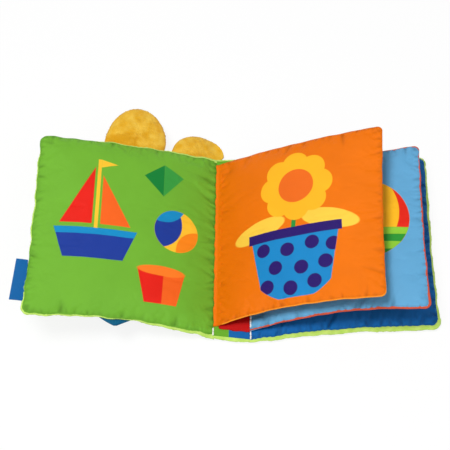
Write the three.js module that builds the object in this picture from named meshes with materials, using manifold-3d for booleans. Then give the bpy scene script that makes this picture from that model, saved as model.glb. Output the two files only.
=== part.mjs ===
// A soft cloth picture book for a baby, lying open: a padded velour cover, two padded cloth leaves
// sewn in at its folds, and a plush head with a rattle on the outside of the front cover.
// Millimetres, +Z up, +Y towards the top of the pages. The origin is under the middle of the spine,
// on the surface that the back cover and the spine lie on.
import * as THREE from "three";
import { mergeVertices } from "three/addons/utils/BufferGeometryUtils.js";
import Module from "manifold-3d";

const wasm = await Module();
wasm.setup();

// Cover
const coverWidth = 160;
const coverHeight = 170;
const coverCornerRadius = 6;
const coverDrawIn = 1.5;
const spineWidth = 32;
const velourThickness = 1;
const liningThickness = 0.5;
const layerGap = 0.3;
const padInset = 6;
const seamThickness = 1.8;
const seamLift = 2.6;
const foldMargin = 10;
const foldGap = 1.55;
const coverEdgeRise = 26;
const frontTilt = THREE.MathUtils.degToRad(17.7);
const frontArch = 6;
const frontInnerCrown = 3.4;
const frontOuterCrown = 4.6;
const frontFoldRise = 36;
const backCrown = 4.6;
const backFoldRise = 80;
const spineCrown = 0.6;
const spineRise = 8;
const foldThreadRadius = 0.9;

// Leaves
const leafNarrower = 8;
const leafShorter = 9;
const leafWidth = coverWidth - leafNarrower;
const leafHeight = coverHeight - leafShorter;
const leafCornerRadius = 4.5;
const leafDrawIn = 1.5;
const leafShift = -0.3;
const leaf1Inset = 3;
const leaf2Inset = 0.5;
const leafSeat = 0.5;
const leafClothThickness = 0.5;
const leafSeamThickness = 1.3;
const leafCrown = 2.4;
const leafEdgeRise = 22;
const leafFoldRise = 24;
const leafMargin = 8;
const leafRootGap = 0.8;
const leaf1Tilt = THREE.MathUtils.degToRad(22);
const leaf1Arch = 6;
const leaf2Tilt = THREE.MathUtils.degToRad(12.4);
const leaf2Arch = 8;
const stripInset = 4;
const stripEndGap = 1.5;

// Woven tag in the outer edge of the front cover
const tagWidth = 12;
const tagLength = 37;
const tagThickness = 1;
const tagGap = 0.7;
const tagDropShare = 0.326;
const tagDrop = tagDropShare * coverHeight;

// Plush head on the outside of the front cover
const headFromFold = 74.8;
const headUp = 7.4;
const headLean = THREE.MathUtils.degToRad(17.1);
const headHalfWidth = 52;
const headHalfHeight = 52;
const headSwell = 16;
const backingThickness = 1.2;
const plushThickness = 1.6;
const clothGap = 0.4;
const tableGap = 0.05;
const earGap = 6.8;
const earOver = 3;
const earUp = coverHeight / 2 + earOver;
const earHalfWidth = 27.9;
const earTop = 30;
const earSeat = 10;
const earRoot = earUp - headHalfHeight + earSeat;
const earThickness = 15;
const earEdge = 3;
const earUpperShare = 0.35;
const muzzleDrop = 12;
const muzzleHalfWidth = 22;
const muzzleHalfHeight = 17;
const muzzleSwell = 4;
const noseDrop = 5;
const noseHalfWidth = 7;
const noseHalfHeight = 5;
const noseSwell = 1.4;
const eyeSpread = 17;
const eyeUp = 11;
const eyeRadius = 4.5;
const eyeSwell = 1.2;
const patchEdge = 0.8;

// Neckerchief under the chin
const bandDepth = 8;
const bandThickness = 6;
const bandShorter = 8;
const flapThickness = 1.2;
const flapHalfWidth = 44;
const flapTipHalfWidth = 1.5;
const flapTipAcross = 20.2;
const flapOver = 8.5;
const flapReach = coverHeight / 2 + flapOver;

// Rattle inside the head
const rattleRadius = 17;
const rattleHeight = 8;
const rattleChamfer = 3;
const rattleWall = 1.4;
const beadRadius = 2;
const beadCount = 4;
const beadRing = 8;

// Colours
const limeVelour = 0xa5d45f;
const green = 0x70b437;
const deepBlue = 0x145faa;
const white = 0xf4f2ec;
const wadding = 0xefece4;
const orange = 0xf47a12;
const red = 0xb91414;
const skyBlue = 0x64a8d8;
const coral = 0xd06048;
const goldPlush = 0xe4b63e;
const creamPlush = 0xf0dca8;
const darkBrown = 0x3a2618;
const clearPlastic = 0xd8e4ea;
const beadColours = [0xd23a2a, 0xf2b51d, 0x2f7fc4, 0x4fa83d];

const halfSeam = seamThickness / 2;
const foldHeight = seamLift + halfSeam;
const spineTop = seamLift + seamThickness;
const leafAxisHeight = spineTop + spineCrown + leafSeat;
const foldX = spineWidth / 2;

// 0 at a seam, swelling smoothly to 1 at the given distance from it.
function swell(distance, length) {
  const share = Math.min(Math.max(distance / length, 0), 1);
  return Math.sin((share * Math.PI) / 2);
}

// A round cushion's profile: 1 in the middle, 0 at the rim.
function dome(share) {
  return Math.sqrt(Math.max(0, 1 - share * share));
}

// A geometry from a flat list of coordinates and a list of triangles.
function geometryFrom(points, triangles) {
  const geometry = new THREE.BufferGeometry();
  geometry.setAttribute("position", new THREE.Float32BufferAttribute(points, 3));
  geometry.setIndex(triangles);
  geometry.computeVertexNormals();
  return geometry;
}

// Both faces of a closed sheet and the wall round its rim. Each face triangle and each rim step runs
// anticlockwise seen from above, and the lower points follow the upper ones in the list.
function closedSheet(upper, lower, faces, rim, mirrored) {
  const shift = upper.length / 3;
  const triangles = [];
  const add = (a, b, c) => triangles.push(...(mirrored ? [a, c, b] : [a, b, c]));
  for (const [a, b, c] of faces) {
    add(a, b, c);
    add(a + shift, c + shift, b + shift);
  }
  rim.forEach((from, step) => {
    const to = rim[(step + 1) % rim.length];
    add(from + shift, to + shift, to);
    add(from + shift, to, from);
  });
  return geometryFrom([...upper, ...lower], triangles);
}

// A sheet over a grid: at(column, row) gives [x, y, low, high].
function gridSheet(columns, rows, at, mirrored = false) {
  const upper = [];
  const lower = [];
  for (const column of columns) {
    for (const row of rows) {
      const [x, y, low, high] = at(column, row);
      upper.push(x, y, high);
      lower.push(x, y, low);
    }
  }
  const index = (i, j) => i * rows.length + j;
  const lastColumn = columns.length - 1;
  const lastRow = rows.length - 1;
  const faces = [];
  for (let i = 0; i < lastColumn; i += 1) {
    for (let j = 0; j < lastRow; j += 1) {
      faces.push([index(i, j), index(i + 1, j), index(i + 1, j + 1)]);
      faces.push([index(i, j), index(i + 1, j + 1), index(i, j + 1)]);
    }
  }
  const rim = [];
  for (let i = 0; i < lastColumn; i += 1) rim.push(index(i, 0));
  for (let j = 0; j < lastRow; j += 1) rim.push(index(lastColumn, j));
  for (let i = lastColumn; i > 0; i -= 1) rim.push(index(i, lastRow));
  for (let j = lastRow; j > 0; j -= 1) rim.push(index(0, j));
  return closedSheet(upper, lower, faces, rim, mirrored);
}

// A sheet over rings round a middle point: at(share of the radius, angle) gives [x, y, low, high].
function roundSheet(rings, segments, at) {
  const upper = [];
  const lower = [];
  const addPoint = ([x, y, low, high]) => {
    upper.push(x, y, high);
    lower.push(x, y, low);
  };
  addPoint(at(0, 0));
  for (const ring of rings) {
    for (let step = 0; step < segments; step += 1) {
      addPoint(at(ring, (step / segments) * 2 * Math.PI));
    }
  }
  const index = (ring, step) => 1 + ring * segments + (step % segments);
  const faces = [];
  for (let step = 0; step < segments; step += 1) {
    faces.push([0, index(0, step), index(0, step + 1)]);
    for (let ring = 0; ring + 1 < rings.length; ring += 1) {
      faces.push([index(ring, step), index(ring + 1, step), index(ring + 1, step + 1)]);
      faces.push([index(ring, step), index(ring + 1, step + 1), index(ring, step + 1)]);
    }
  }
  const rim = [];
  for (let step = 0; step < segments; step += 1) rim.push(index(rings.length - 1, step));
  return closedSheet(upper, lower, faces, rim, false);
}

// A boolean solid from a closed geometry, and back.
function solidOf(geometry) {
  const bare = geometry.clone();
  for (const name of Object.keys(bare.attributes)) {
    if (name !== "position") bare.deleteAttribute(name);
  }
  const merged = mergeVertices(bare);
  const vertProperties = new Float32Array(merged.attributes.position.array);
  const triVerts = new Uint32Array(merged.index.array);
  return new wasm.Manifold(new wasm.Mesh({ numProp: 3, vertProperties, triVerts }));
}

function geometryOf(solid) {
  const mesh = solid.getMesh();
  return geometryFrom(Array.from(mesh.vertProperties), Array.from(mesh.triVerts));
}

function cut(geometry, cutter) {
  return geometryOf(solidOf(geometry).subtract(solidOf(cutter)));
}

function addPiece(group, name, geometry, color, roughness) {
  const mesh = new THREE.Mesh(geometry, new THREE.MeshStandardMaterial({ color, roughness }));
  mesh.name = name;
  group.add(mesh);
  return mesh;
}

// A sewn panel: thin along its fold and its edges, swelling between them. "out" is the distance from
// the fold and "row" runs from -1 at the lower edge to 1 at the upper one.
function makePanel({ width, height, corner, drawIn, start, margin, arch, foldRise, edgeRise }) {
  const halfHeight = (out) => {
    const past = Math.max(0, out - (width - corner));
    const rounding = corner - Math.sqrt(Math.max(0, corner * corner - past * past));
    return height / 2 - rounding - drawIn * Math.sin((Math.PI * out) / width);
  };
  const crown = (out, y) => {
    const fromSides = swell(halfHeight(out) - Math.abs(y), edgeRise);
    return swell(out - margin, foldRise) * swell(width - out, edgeRise) * fromSides;
  };
  const archAt = (out) => 4 * arch * (out / width) * (1 - out / width);
  const place = (out, row) => {
    const pulled = drawIn * (1 - row * row) * (out / width) ** 6;
    return [out - pulled, row * halfHeight(out)];
  };
  const inner = width - corner;
  const padStart = Math.max(start, margin) + padInset;
  const padSteps = 7;
  const padColumns = [];
  for (let step = 0; step <= padSteps; step += 1) {
    padColumns.push(padStart + ((inner - padStart) * step) / padSteps);
  }
  const rootColumns = margin > start ? [start, margin] : [start];
  const cornerColumns = [1, 2, 3].map((step) => inner + corner * Math.sin((step * Math.PI) / 6));
  const columns = [...rootColumns, ...padColumns, ...cornerColumns];
  const halfRows = [0.14, 0.42, 0.7, 0.86, 0.94, 1];
  const rows = [...halfRows.map((row) => -row).reverse(), ...halfRows];
  const padRows = rows.slice(1, -1);
  return { halfHeight, crown, archAt, place, columns, rows, padColumns, padRows };
}

// The three layers of a panel, between its two faces. face(out, y) gives [under, over].
function addLayers(group, panel, face, side, shift, layers) {
  const at = (heights) => (out, row) => {
    const [along, y] = panel.place(out, row);
    const [low, high] = heights(face(out, y), out, y);
    return [side * along, y + shift, low, high];
  };
  const { upper, pad, lower } = layers;
  const mirrored = side < 0;
  const upperAt = at(([, over]) => [over - upper.thickness, over]);
  const lowerAt = at(([under]) => [under, under + lower.thickness]);
  const padAt = at(([under, over]) => [
    under + lower.thickness + layerGap,
    over - upper.thickness - layerGap,
  ]);
  addPiece(group, upper.name, gridSheet(panel.columns, panel.rows, upperAt, mirrored), upper.color, 0.6);
  addPiece(group, pad.name, gridSheet(panel.padColumns, panel.padRows, padAt, mirrored), wadding, 1);
  addPiece(group, lower.name, gridSheet(panel.columns, panel.rows, lowerAt, mirrored), lower.color, 0.9);
}

const book = new THREE.Group();

// Front cover: hinged at the front fold and tilted up from the table by the head under it
const frontPanel = makePanel({
  width: coverWidth,
  height: coverHeight,
  corner: coverCornerRadius,
  drawIn: coverDrawIn,
  start: foldGap,
  margin: foldMargin,
  arch: frontArch,
  foldRise: frontFoldRise,
  edgeRise: coverEdgeRise,
});

const front = new THREE.Group();
front.position.set(-foldX, 0, foldHeight);
front.rotation.y = frontTilt;
book.add(front);

function frontOuter(out, y) {
  return frontPanel.archAt(out) - halfSeam - frontOuterCrown * frontPanel.crown(out, y);
}

function frontInner(out, y) {
  return frontPanel.archAt(out) + halfSeam + frontInnerCrown * frontPanel.crown(out, y);
}

addLayers(front, frontPanel, (out, y) => [frontOuter(out, y), frontInner(out, y)], -1, 0, {
  upper: { name: "front_cover_lining", thickness: liningThickness, color: green },
  pad: { name: "front_cover_wadding" },
  lower: { name: "front_cover_velour", thickness: velourThickness, color: limeVelour },
});

// Back cover: flat on the table, its seams lifted off it
const backPanel = makePanel({
  width: coverWidth,
  height: coverHeight,
  corner: coverCornerRadius,
  drawIn: coverDrawIn,
  start: foldGap,
  margin: foldMargin,
  arch: 0,
  foldRise: backFoldRise,
  edgeRise: coverEdgeRise,
});
const underPanel = makePanel({
  width: coverWidth,
  height: coverHeight,
  corner: coverCornerRadius,
  drawIn: coverDrawIn,
  start: foldGap,
  margin: 0,
  arch: 0,
  foldRise: frontFoldRise,
  edgeRise: coverEdgeRise,
});

const back = new THREE.Group();
back.position.set(foldX, 0, 0);
book.add(back);

// How far the underside still is from lying on the table: 1 at a seam, 0 well inside it.
function offTable(crown) {
  const flatFrom = 0.45;
  return Math.max(0, 1 - crown / flatFrom);
}

function backFaces(out, y) {
  const under = seamLift * offTable(underPanel.crown(out, y));
  return [under, spineTop + backCrown * backPanel.crown(out, y)];
}

addLayers(back, backPanel, backFaces, 1, 0, {
  upper: { name: "back_cover_lining", thickness: liningThickness, color: deepBlue },
  pad: { name: "back_cover_wadding" },
  lower: { name: "back_cover_velour", thickness: velourThickness, color: limeVelour },
});

// Spine: a thin padded strip between the two folds, lined half green and half blue
const spineEdge = foldX - foldGap;
const spineHalfHeight = coverHeight / 2;

function spineFaces(x, y) {
  const crown = swell(spineEdge - Math.abs(x), spineRise) * swell(spineHalfHeight - Math.abs(y), spineRise);
  return [seamLift * offTable(crown), spineTop + spineCrown * crown];
}

function spineSheet(columns, rows, heights) {
  return gridSheet(columns, rows, (x, y) => [x, y, ...heights(spineFaces(x, y))]);
}

const spineColumns = [1, 0.8, 0.6, 0.3].map((share) => share * spineEdge);
const acrossSpine = [...spineColumns.map((x) => -x), ...spineColumns.toReversed()];
const upSpine = [1, 0.97, 0.92, 0.5].map((share) => share * spineHalfHeight);
const alongSpine = [...upSpine.map((y) => -y), 0, ...upSpine.toReversed()];
const liningHeights = ([, over]) => [over - liningThickness, over];
const velourHeights = ([under]) => [under, under + velourThickness];
const spinePadHeights = ([under, over]) => [
  under + velourThickness + layerGap,
  over - liningThickness - layerGap,
];
const greenColumns = [...acrossSpine.slice(0, spineColumns.length), -layerGap / 2];
const blueColumns = [layerGap / 2, ...acrossSpine.slice(spineColumns.length)];
const spinePadColumns = acrossSpine.slice(1, -1);
const spinePadRows = alongSpine.slice(1, -1);
addPiece(book, "spine_lining_green", spineSheet(greenColumns, alongSpine, liningHeights), green, 0.6);
addPiece(book, "spine_lining_blue", spineSheet(blueColumns, alongSpine, liningHeights), deepBlue, 0.6);
addPiece(book, "spine_wadding", spineSheet(spinePadColumns, spinePadRows, spinePadHeights), wadding, 1);
addPiece(book, "spine_velour", spineSheet(acrossSpine, alongSpine, velourHeights), limeVelour, 0.9);

// Stitched thread along both folds
for (const [name, x] of [["front_fold_stitching", -foldX], ["back_fold_stitching", foldX]]) {
  const thread = new THREE.CylinderGeometry(foldThreadRadius, foldThreadRadius, coverHeight, 8);
  addPiece(book, name, thread, white, 0.7).position.set(x, 0, foldHeight);
}

// The strip of leaf cloth that lies on the spine between the two leaves
const leaf1X = leaf1Inset - foldX;
const leaf2X = foldX - leaf2Inset;
const stripFrom = leaf1X + stripInset;
const stripTo = leaf2X - stripEndGap;
const stripColumns = [0, 0.25, 0.5, 0.75, 1].map((share) => stripFrom + share * (stripTo - stripFrom));
const stripRows = alongSpine.slice(1, -1).map((y) => (y * leafHeight) / coverHeight);

function stripSheet(from, thickness) {
  return gridSheet(stripColumns, stripRows, (x, y) => {
    const low = spineTop + spineCrown + from;
    return [x, y + leafShift, low, low + thickness];
  });
}

const stripUpperFrom = layerGap + leafClothThickness + layerGap;
addPiece(book, "leaf_strip_underside", stripSheet(layerGap, leafClothThickness), orange, 0.6);
addPiece(book, "leaf_strip_top", stripSheet(stripUpperFrom, leafClothThickness), red, 0.6);

// Leaves: each hinges where it is sewn down and arches over the one below
function makeLeaf(x, tilt, arch, start) {
  const panel = makePanel({
    width: leafWidth,
    height: leafHeight,
    corner: leafCornerRadius,
    drawIn: leafDrawIn,
    start,
    margin: leafMargin,
    arch,
    foldRise: leafFoldRise,
    edgeRise: leafEdgeRise,
  });
  const group = new THREE.Group();
  group.position.set(x, 0, leafAxisHeight);
  group.rotation.y = -tilt;
  book.add(group);
  const face = (out, y) => {
    const half = leafSeamThickness / 2 + leafCrown * panel.crown(out, y);
    return [panel.archAt(out) - half, panel.archAt(out) + half];
  };
  return { panel, group, face };
}

function addLeafLayers(leaf, name, frontColour, backColour) {
  addLayers(leaf.group, leaf.panel, leaf.face, 1, leafShift, {
    upper: { name: `${name}_front_cloth`, thickness: leafClothThickness, color: frontColour },
    pad: { name: `${name}_wadding` },
    lower: { name: `${name}_back_cloth`, thickness: leafClothThickness, color: backColour },
  });
}

const leaf1 = makeLeaf(leaf1X, leaf1Tilt, leaf1Arch, leafMargin + layerGap / 2);
addLeafLayers(leaf1, "leaf_1", orange, red);
const leaf2 = makeLeaf(leaf2X, leaf2Tilt, leaf2Arch, leafRootGap);
addLeafLayers(leaf2, "leaf_2", skyBlue, coral);

// The flat sewn margin that leaf 1 bends at
const marginColumns = [leafRootGap, leafMargin / 2, leafMargin - layerGap / 2];
const marginSheet = gridSheet(marginColumns, leaf1.panel.rows, (out, row) => {
  const [along, y] = leaf1.panel.place(out, row);
  const middle = leaf1.panel.archAt(out);
  return [along, y + leafShift, middle - leafSeamThickness / 2, middle + leafSeamThickness / 2];
});
addPiece(leaf1.group, "leaf_1_margin", marginSheet, orange, 0.6);

// Side tag: a folded tape sewn in the outer edge of the front cover
const tagRows = [-1, -1 / 3, 1 / 3, 1].map((share) => -tagDrop + (share * tagLength) / 2);
const tagSheet = gridSheet([0, tagWidth / 2, tagWidth], tagRows, (out, y) => {
  const [edge] = frontPanel.place(coverWidth, y / frontPanel.halfHeight(coverWidth));
  return [-edge - tagGap - out, y, -tagThickness / 2, tagThickness / 2];
}, true);
addPiece(front, "side_tag", tagSheet, deepBlue, 0.6);

// Plush head. Its pieces are placed by how far across and up they are from its middle, and the head
// leans towards the spine.
function headPoint(across, up) {
  const x = -headFromFold + across * Math.cos(headLean) + up * Math.sin(headLean);
  const y = headUp - across * Math.sin(headLean) + up * Math.cos(headLean);
  return [x, y];
}

// The cover's outer face, carried on level past its edges, and the table below it.
function coverAbove(x, y) {
  const out = Math.min(Math.max(-x, 0), coverWidth);
  return frontOuter(out, y);
}

function tableBelow(x) {
  const drop = foldHeight - tableGap - x * Math.sin(frontTilt);
  return -drop / Math.cos(frontTilt);
}

// A point of an oval on the head, and its share of the way to the oval's rim.
function ovalPoint(across, up, halfWidth, halfHeight) {
  return (share, angle) => {
    const sideways = across + halfWidth * share * Math.cos(angle);
    return headPoint(sideways, up + halfHeight * share * Math.sin(angle));
  };
}

const headOval = ovalPoint(0, 0, headHalfWidth, headHalfHeight);
const backingUnder = (x, y) => coverAbove(x, y) - clothGap - backingThickness;

// The plush face's outer surface, pressed flat where it meets the table.
function faceOuter(x, y) {
  const [middleX, middleY] = headPoint(0, 0);
  const across = (x - middleX) * Math.cos(headLean) - (y - middleY) * Math.sin(headLean);
  const up = (x - middleX) * Math.sin(headLean) + (y - middleY) * Math.cos(headLean);
  const share = Math.hypot(across / headHalfWidth, up / headHalfHeight);
  const free = backingUnder(x, y) - layerGap - headSwell * dome(share) - plushThickness;
  return Math.max(free, tableBelow(x));
}

const headRings = [0.3, 0.55, 0.78, 0.92, 1];
const headSegments = 28;
const backingSheet = roundSheet(headRings, headSegments, (share, angle) => {
  const [x, y] = headOval(share, angle);
  return [x, y, backingUnder(x, y), coverAbove(x, y) - clothGap];
});
addPiece(front, "head_backing", backingSheet, goldPlush, 1);

const plushSheet = roundSheet(headRings, headSegments, (share, angle) => {
  const [x, y] = headOval(share, angle);
  return [x, y, faceOuter(x, y), faceOuter(x, y) + plushThickness];
});
addPiece(front, "head_plush", plushSheet, goldPlush, 1);

// Rattle capsule, in a pocket of the stuffing that opens towards the cover
const [rattleX, rattleY] = headPoint(0, 0);
const capsuleRim = [0, 1, 2, 3].map((quarter) => {
  const angle = (quarter * Math.PI) / 2;
  return backingUnder(rattleX + rattleRadius * Math.cos(angle), rattleY + rattleRadius * Math.sin(angle));
});
const rattleTop = Math.min(...capsuleRim) - clothGap;
const rattleMiddle = rattleTop - rattleHeight / 2;
const stuffingRings = headRings.slice(0, -1);
const stuffingSheet = roundSheet(stuffingRings, headSegments, (share, angle) => {
  const [x, y] = headOval(share, angle);
  return [x, y, faceOuter(x, y) + plushThickness + layerGap, backingUnder(x, y) - layerGap];
});
const pocketDepth = rattleHeight + 2 * clothGap;
const pocketReach = 6;
const pocket = new THREE.CylinderGeometry(
  rattleRadius + clothGap,
  rattleRadius + clothGap,
  pocketDepth + pocketReach,
  headSegments,
);
pocket.rotateX(Math.PI / 2);
pocket.translate(rattleX, rattleY, rattleTop - pocketDepth / 2 + pocketReach / 2);
addPiece(front, "head_stuffing", cut(stuffingSheet, pocket), wadding, 1);

function halfCapsule() {
  const half = rattleHeight / 2;
  const inside = rattleRadius - rattleWall;
  const floor = half - rattleWall;
  const profile = [
    [0, -half],
    [rattleRadius - rattleChamfer, -half],
    [rattleRadius, rattleChamfer - half],
    [rattleRadius, -layerGap / 2],
    [inside, -layerGap / 2],
    [inside, rattleChamfer - half],
    [inside + rattleWall - rattleChamfer - rattleWall / 2, -floor],
    [0, -floor],
  ].map(([radius, height]) => new THREE.Vector2(radius, height));
  return new THREE.LatheGeometry(profile, headSegments).rotateX(Math.PI / 2);
}

for (const [name, turn] of [["rattle_shell_front", 0], ["rattle_shell_back", Math.PI]]) {
  const shell = addPiece(front, name, halfCapsule(), clearPlastic, 0.3);
  shell.position.set(rattleX, rattleY, rattleMiddle);
  shell.rotation.x = turn;
}

const beadRest = rattleWall + beadRadius + layerGap - rattleHeight / 2;
for (let bead = 0; bead < beadCount; bead += 1) {
  const angle = ((bead + 0.5) / beadCount) * 2 * Math.PI;
  const ball = new THREE.SphereGeometry(beadRadius, 10, 8);
  const x = rattleX + beadRing * Math.cos(angle);
  const y = rattleY + beadRing * Math.sin(angle);
  const colour = beadColours[bead % beadColours.length];
  addPiece(front, `rattle_bead_${bead + 1}`, ball, colour, 0.3).position.set(x, y, rattleMiddle + beadRest);
}

// Ears: stuffed lobes that come out from under the cover's top edge, fitted round the head's rim
const headCutter = (growth) => {
  const oval = ovalPoint(0, 0, headHalfWidth + growth, headHalfHeight + growth);
  const reach = coverHeight;
  return roundSheet([1], 2 * headSegments, (share, angle) => [...oval(share, angle), -reach, reach]);
};
// The room that the spine and its fold take beside the front cover, which an ear stays out of
const spineRoom = foldThreadRadius + clothGap;
const spineCutter = new THREE.BoxGeometry(
  spineWidth + spineRoom,
  coverHeight + 2 * clothGap,
  coverHeight,
).translate((spineWidth - spineRoom) / 2, 0, 0);
const earRings = [0.4, 0.7, 0.9, 1];
const earSpread = earHalfWidth + earGap / 2;
for (const [name, side] of [["ear_left", -1], ["ear_right", 1]]) {
  const lobe = roundSheet(earRings, headSegments, (share, angle) => {
    const length = Math.sin(angle) > 0 ? earTop : earRoot;
    const across = side * earSpread + earHalfWidth * share * Math.cos(angle);
    const [x, y] = headPoint(across, earUp + length * share * Math.sin(angle));
    const thinning = (earThickness - earEdge) * (1 - dome(share));
    const high = coverAbove(x, y) - clothGap - earUpperShare * thinning;
    const low = Math.max(high - earThickness + thinning, tableBelow(x));
    return [x, y, low, Math.max(high, low + earEdge / 2)];
  });
  addPiece(front, name, cut(cut(lobe, headCutter(clothGap)), spineCutter), goldPlush, 1);
}

// Raised pieces of the face, each sewn on what is under it
function facePatch(oval, under, height) {
  return roundSheet([0.4, 0.75, 1], 20, (share, angle) => {
    const [x, y] = oval(share, angle);
    const high = under(x, y) - clothGap;
    const flat = high - patchEdge;
    return [x, y, Math.max(flat - height * dome(share), Math.min(tableBelow(x), flat)), high];
  });
}

const muzzleOval = ovalPoint(0, -muzzleDrop, muzzleHalfWidth, muzzleHalfHeight);
addPiece(front, "muzzle", facePatch(muzzleOval, faceOuter, muzzleSwell), creamPlush, 1);

function muzzleOuter(x, y) {
  const [middleX, middleY] = headPoint(0, -muzzleDrop);
  const share = Math.hypot((x - middleX) / muzzleHalfWidth, (y - middleY) / muzzleHalfHeight);
  return faceOuter(x, y) - clothGap - patchEdge - muzzleSwell * dome(share);
}

const noseOval = ovalPoint(0, -noseDrop, noseHalfWidth, noseHalfHeight);
addPiece(front, "nose", facePatch(noseOval, muzzleOuter, noseSwell), darkBrown, 0.5);
for (const [name, side] of [["eye_left", -1], ["eye_right", 1]]) {
  const eyeOval = ovalPoint(side * eyeSpread, eyeUp, eyeRadius, eyeRadius);
  addPiece(front, name, facePatch(eyeOval, faceOuter, eyeSwell), darkBrown, 0.3);
}

// Neckerchief: a plump band under the chin and a pointed flap hanging from it
const bandSheet = roundSheet(earRings, 2 * headSegments, (share, angle) => {
  const oval = ovalPoint(0, -bandDepth, headHalfWidth - bandShorter, headHalfHeight);
  const [x, y] = oval(share, angle);
  const high = coverAbove(x, y) - clothGap;
  return [x, y, high - bandThickness, high];
});
addPiece(front, "neckerchief_band", cut(bandSheet, headCutter(clothGap)), deepBlue, 0.8);

const flapFrom = headHalfHeight + bandDepth + clothGap;
const flapRows = [0, 0.25, 0.5, 0.7, 0.85, 0.95, 1];
const flapColumns = [-1, -0.5, 0, 0.5, 1];
const flapSheet = gridSheet(flapColumns, flapRows, (column, row) => {
  const half = flapHalfWidth + (flapTipHalfWidth - flapHalfWidth) * row * row;
  const across = flapTipAcross * row + column * half;
  const [x, y] = headPoint(across, -flapFrom - row * (flapReach - flapFrom));
  const high = coverAbove(x, y) - clothGap;
  return [x, y, high - flapThickness, high];
}, true);
addPiece(front, "neckerchief_flap", flapSheet, deepBlue, 0.8);

export default book;
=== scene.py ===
"""Looks of the soft cloth picture book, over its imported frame.

Shapes are worked out in millimetres and become metres when a mesh is made.
"""

import functools
import math

import bpy
import numpy as np
from mathutils import Matrix, Vector


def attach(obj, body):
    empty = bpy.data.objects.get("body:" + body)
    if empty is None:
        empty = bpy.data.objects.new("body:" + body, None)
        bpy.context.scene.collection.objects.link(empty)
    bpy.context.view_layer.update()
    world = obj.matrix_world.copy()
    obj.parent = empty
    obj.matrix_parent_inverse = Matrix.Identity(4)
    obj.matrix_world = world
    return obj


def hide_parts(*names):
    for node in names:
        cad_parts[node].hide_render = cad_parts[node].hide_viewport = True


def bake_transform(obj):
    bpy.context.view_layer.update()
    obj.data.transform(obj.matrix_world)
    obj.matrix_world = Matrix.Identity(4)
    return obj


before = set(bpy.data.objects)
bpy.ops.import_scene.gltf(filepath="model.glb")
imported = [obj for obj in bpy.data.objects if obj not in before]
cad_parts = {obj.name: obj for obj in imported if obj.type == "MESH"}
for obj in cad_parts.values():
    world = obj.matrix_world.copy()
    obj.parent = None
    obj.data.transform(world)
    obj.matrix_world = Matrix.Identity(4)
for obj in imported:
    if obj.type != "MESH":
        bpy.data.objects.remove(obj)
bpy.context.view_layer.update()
scene = bpy.context.scene
MM = 0.001

# Sizes of the covers, the leaves and the head, as in the solids
COVER_WIDTH, COVER_HEIGHT, COVER_CORNER = 160, 170, 6
DRAW_IN = 1.5
FOLD_X = 16
HALF_SEAM = 0.9
SEAM_LIFT = 2.6
FOLD_Z = SEAM_LIFT + HALF_SEAM
SPINE_TOP = SEAM_LIFT + 2 * HALF_SEAM
FOLD_MARGIN = 10
FRONT_TILT, FRONT_ARCH = math.radians(17.7), 6.6
FRONT_ORIGIN = (-FOLD_X, 0, FOLD_Z)
LEAF_WIDTH, LEAF_HEIGHT, LEAF_CORNER = 152, 161, 4.5
LEAF_SHIFT = -0.3
LEAF_1_X, LEAF_2_X, LEAF_Z = -13, 15.5, 5.5
LEAF_MARGIN = 8
LEAF_HALF_SEAM = 0.65
LEAF_1_TILT, LEAF_1_ARCH = math.radians(22), 7.0
LEAF_2_TILT, LEAF_2_ARCH = math.radians(12.4), 9.0
HEAD_FROM_FOLD, HEAD_UP = 74.8, 7.4
HEAD_LEAN = math.radians(17.1)
HEAD_HALF, HEAD_SWELL = 52, 16
CLOTH_GAP = 0.4

# Colours as written in sRGB
# The spine's green is painted a little darker than GREEN, as painted shade where the spine lies
# partly shaded.
GREEN, SHADED_PLAIN_GREEN = (0.435, 0.685, 0.19), (0.40, 0.66, 0.15)
LIME, LIME_SHADE = (0.79, 0.91, 0.47), (0.70, 0.85, 0.36)
DEEP_BLUE = (0.03, 0.38, 0.66)
# LIT_ORANGE is a painted highlight for leaf 1's turned lower edge.
ORANGE, LIT_ORANGE = (0.925, 0.45, 0.0), (0.99, 0.62, 0.16)
RED = (0.74, 0.035, 0.035)
SKY = (0.39, 0.66, 0.83)
CORAL = (0.80, 0.33, 0.21)
GOLD, GOLD_SHADE = (0.93, 0.76, 0.28), (0.91, 0.68, 0.14)
# The ears' second colour is a darker amber for their lower part: painted shade, and pile laid the
# other way.
EAR_SHADE, EAR_LAID_AND_SHADED = (0.89, 0.65, 0.09), (0.84, 0.59, 0.02)
CREAM, CREAM_SHADE = (0.94, 0.86, 0.66), (0.88, 0.78, 0.55)
BROWN = (0.20, 0.13, 0.08)
WHITE = (0.95, 0.94, 0.92)
TAG_BLUE, NECK_BLUE = (0.05, 0.37, 0.62), (0.045, 0.36, 0.50)

# How the cloth puffs, gathers and frays
EDGE_PLUMP, FOLD_PLUMP, WIDE_FOLD_PLUMP = 2.4, 6.0, 12.0
COVER_PLUMP, LEAF_PLUMP = 2.3, 1.4
WANDER_LENGTHS, WANDER_FADE = (17.0, 29.0, 47.0), 12
FRAY = 0.16
STEP, HIDDEN_STEP = 0.85, 1.6
# Creases along a seam: spacing, share of the depth, reach and width
SIDE_CREASES = ((10, 1.0, 5, 0.9), (36, 1.2, 11, 1.6), (5, 0.4, 4, 0.7))
OUTER_CREASES = ((10, 1.0, 5, 0.9), (36, 1.2, 12, 1.5), (4.6, 0.45, 6, 0.7))
FOLD_CREASES = ((8, 1.0, 6, 0.85), (27, 1.0, 12, 1.3))
CLOTH_FRAMES, CLOTH_CAP, CLOTH_GRID = 20, 6, 59
CLOTH_SETTINGS = dict(
    quality=6, mass=0.1, tension_stiffness=20, compression_stiffness=20, shear_stiffness=8,
    bending_stiffness=0.02, use_pressure=True, uniform_pressure_force=4, vertex_group_mass="seam",
    shrink_min=-0.004,
)


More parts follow.
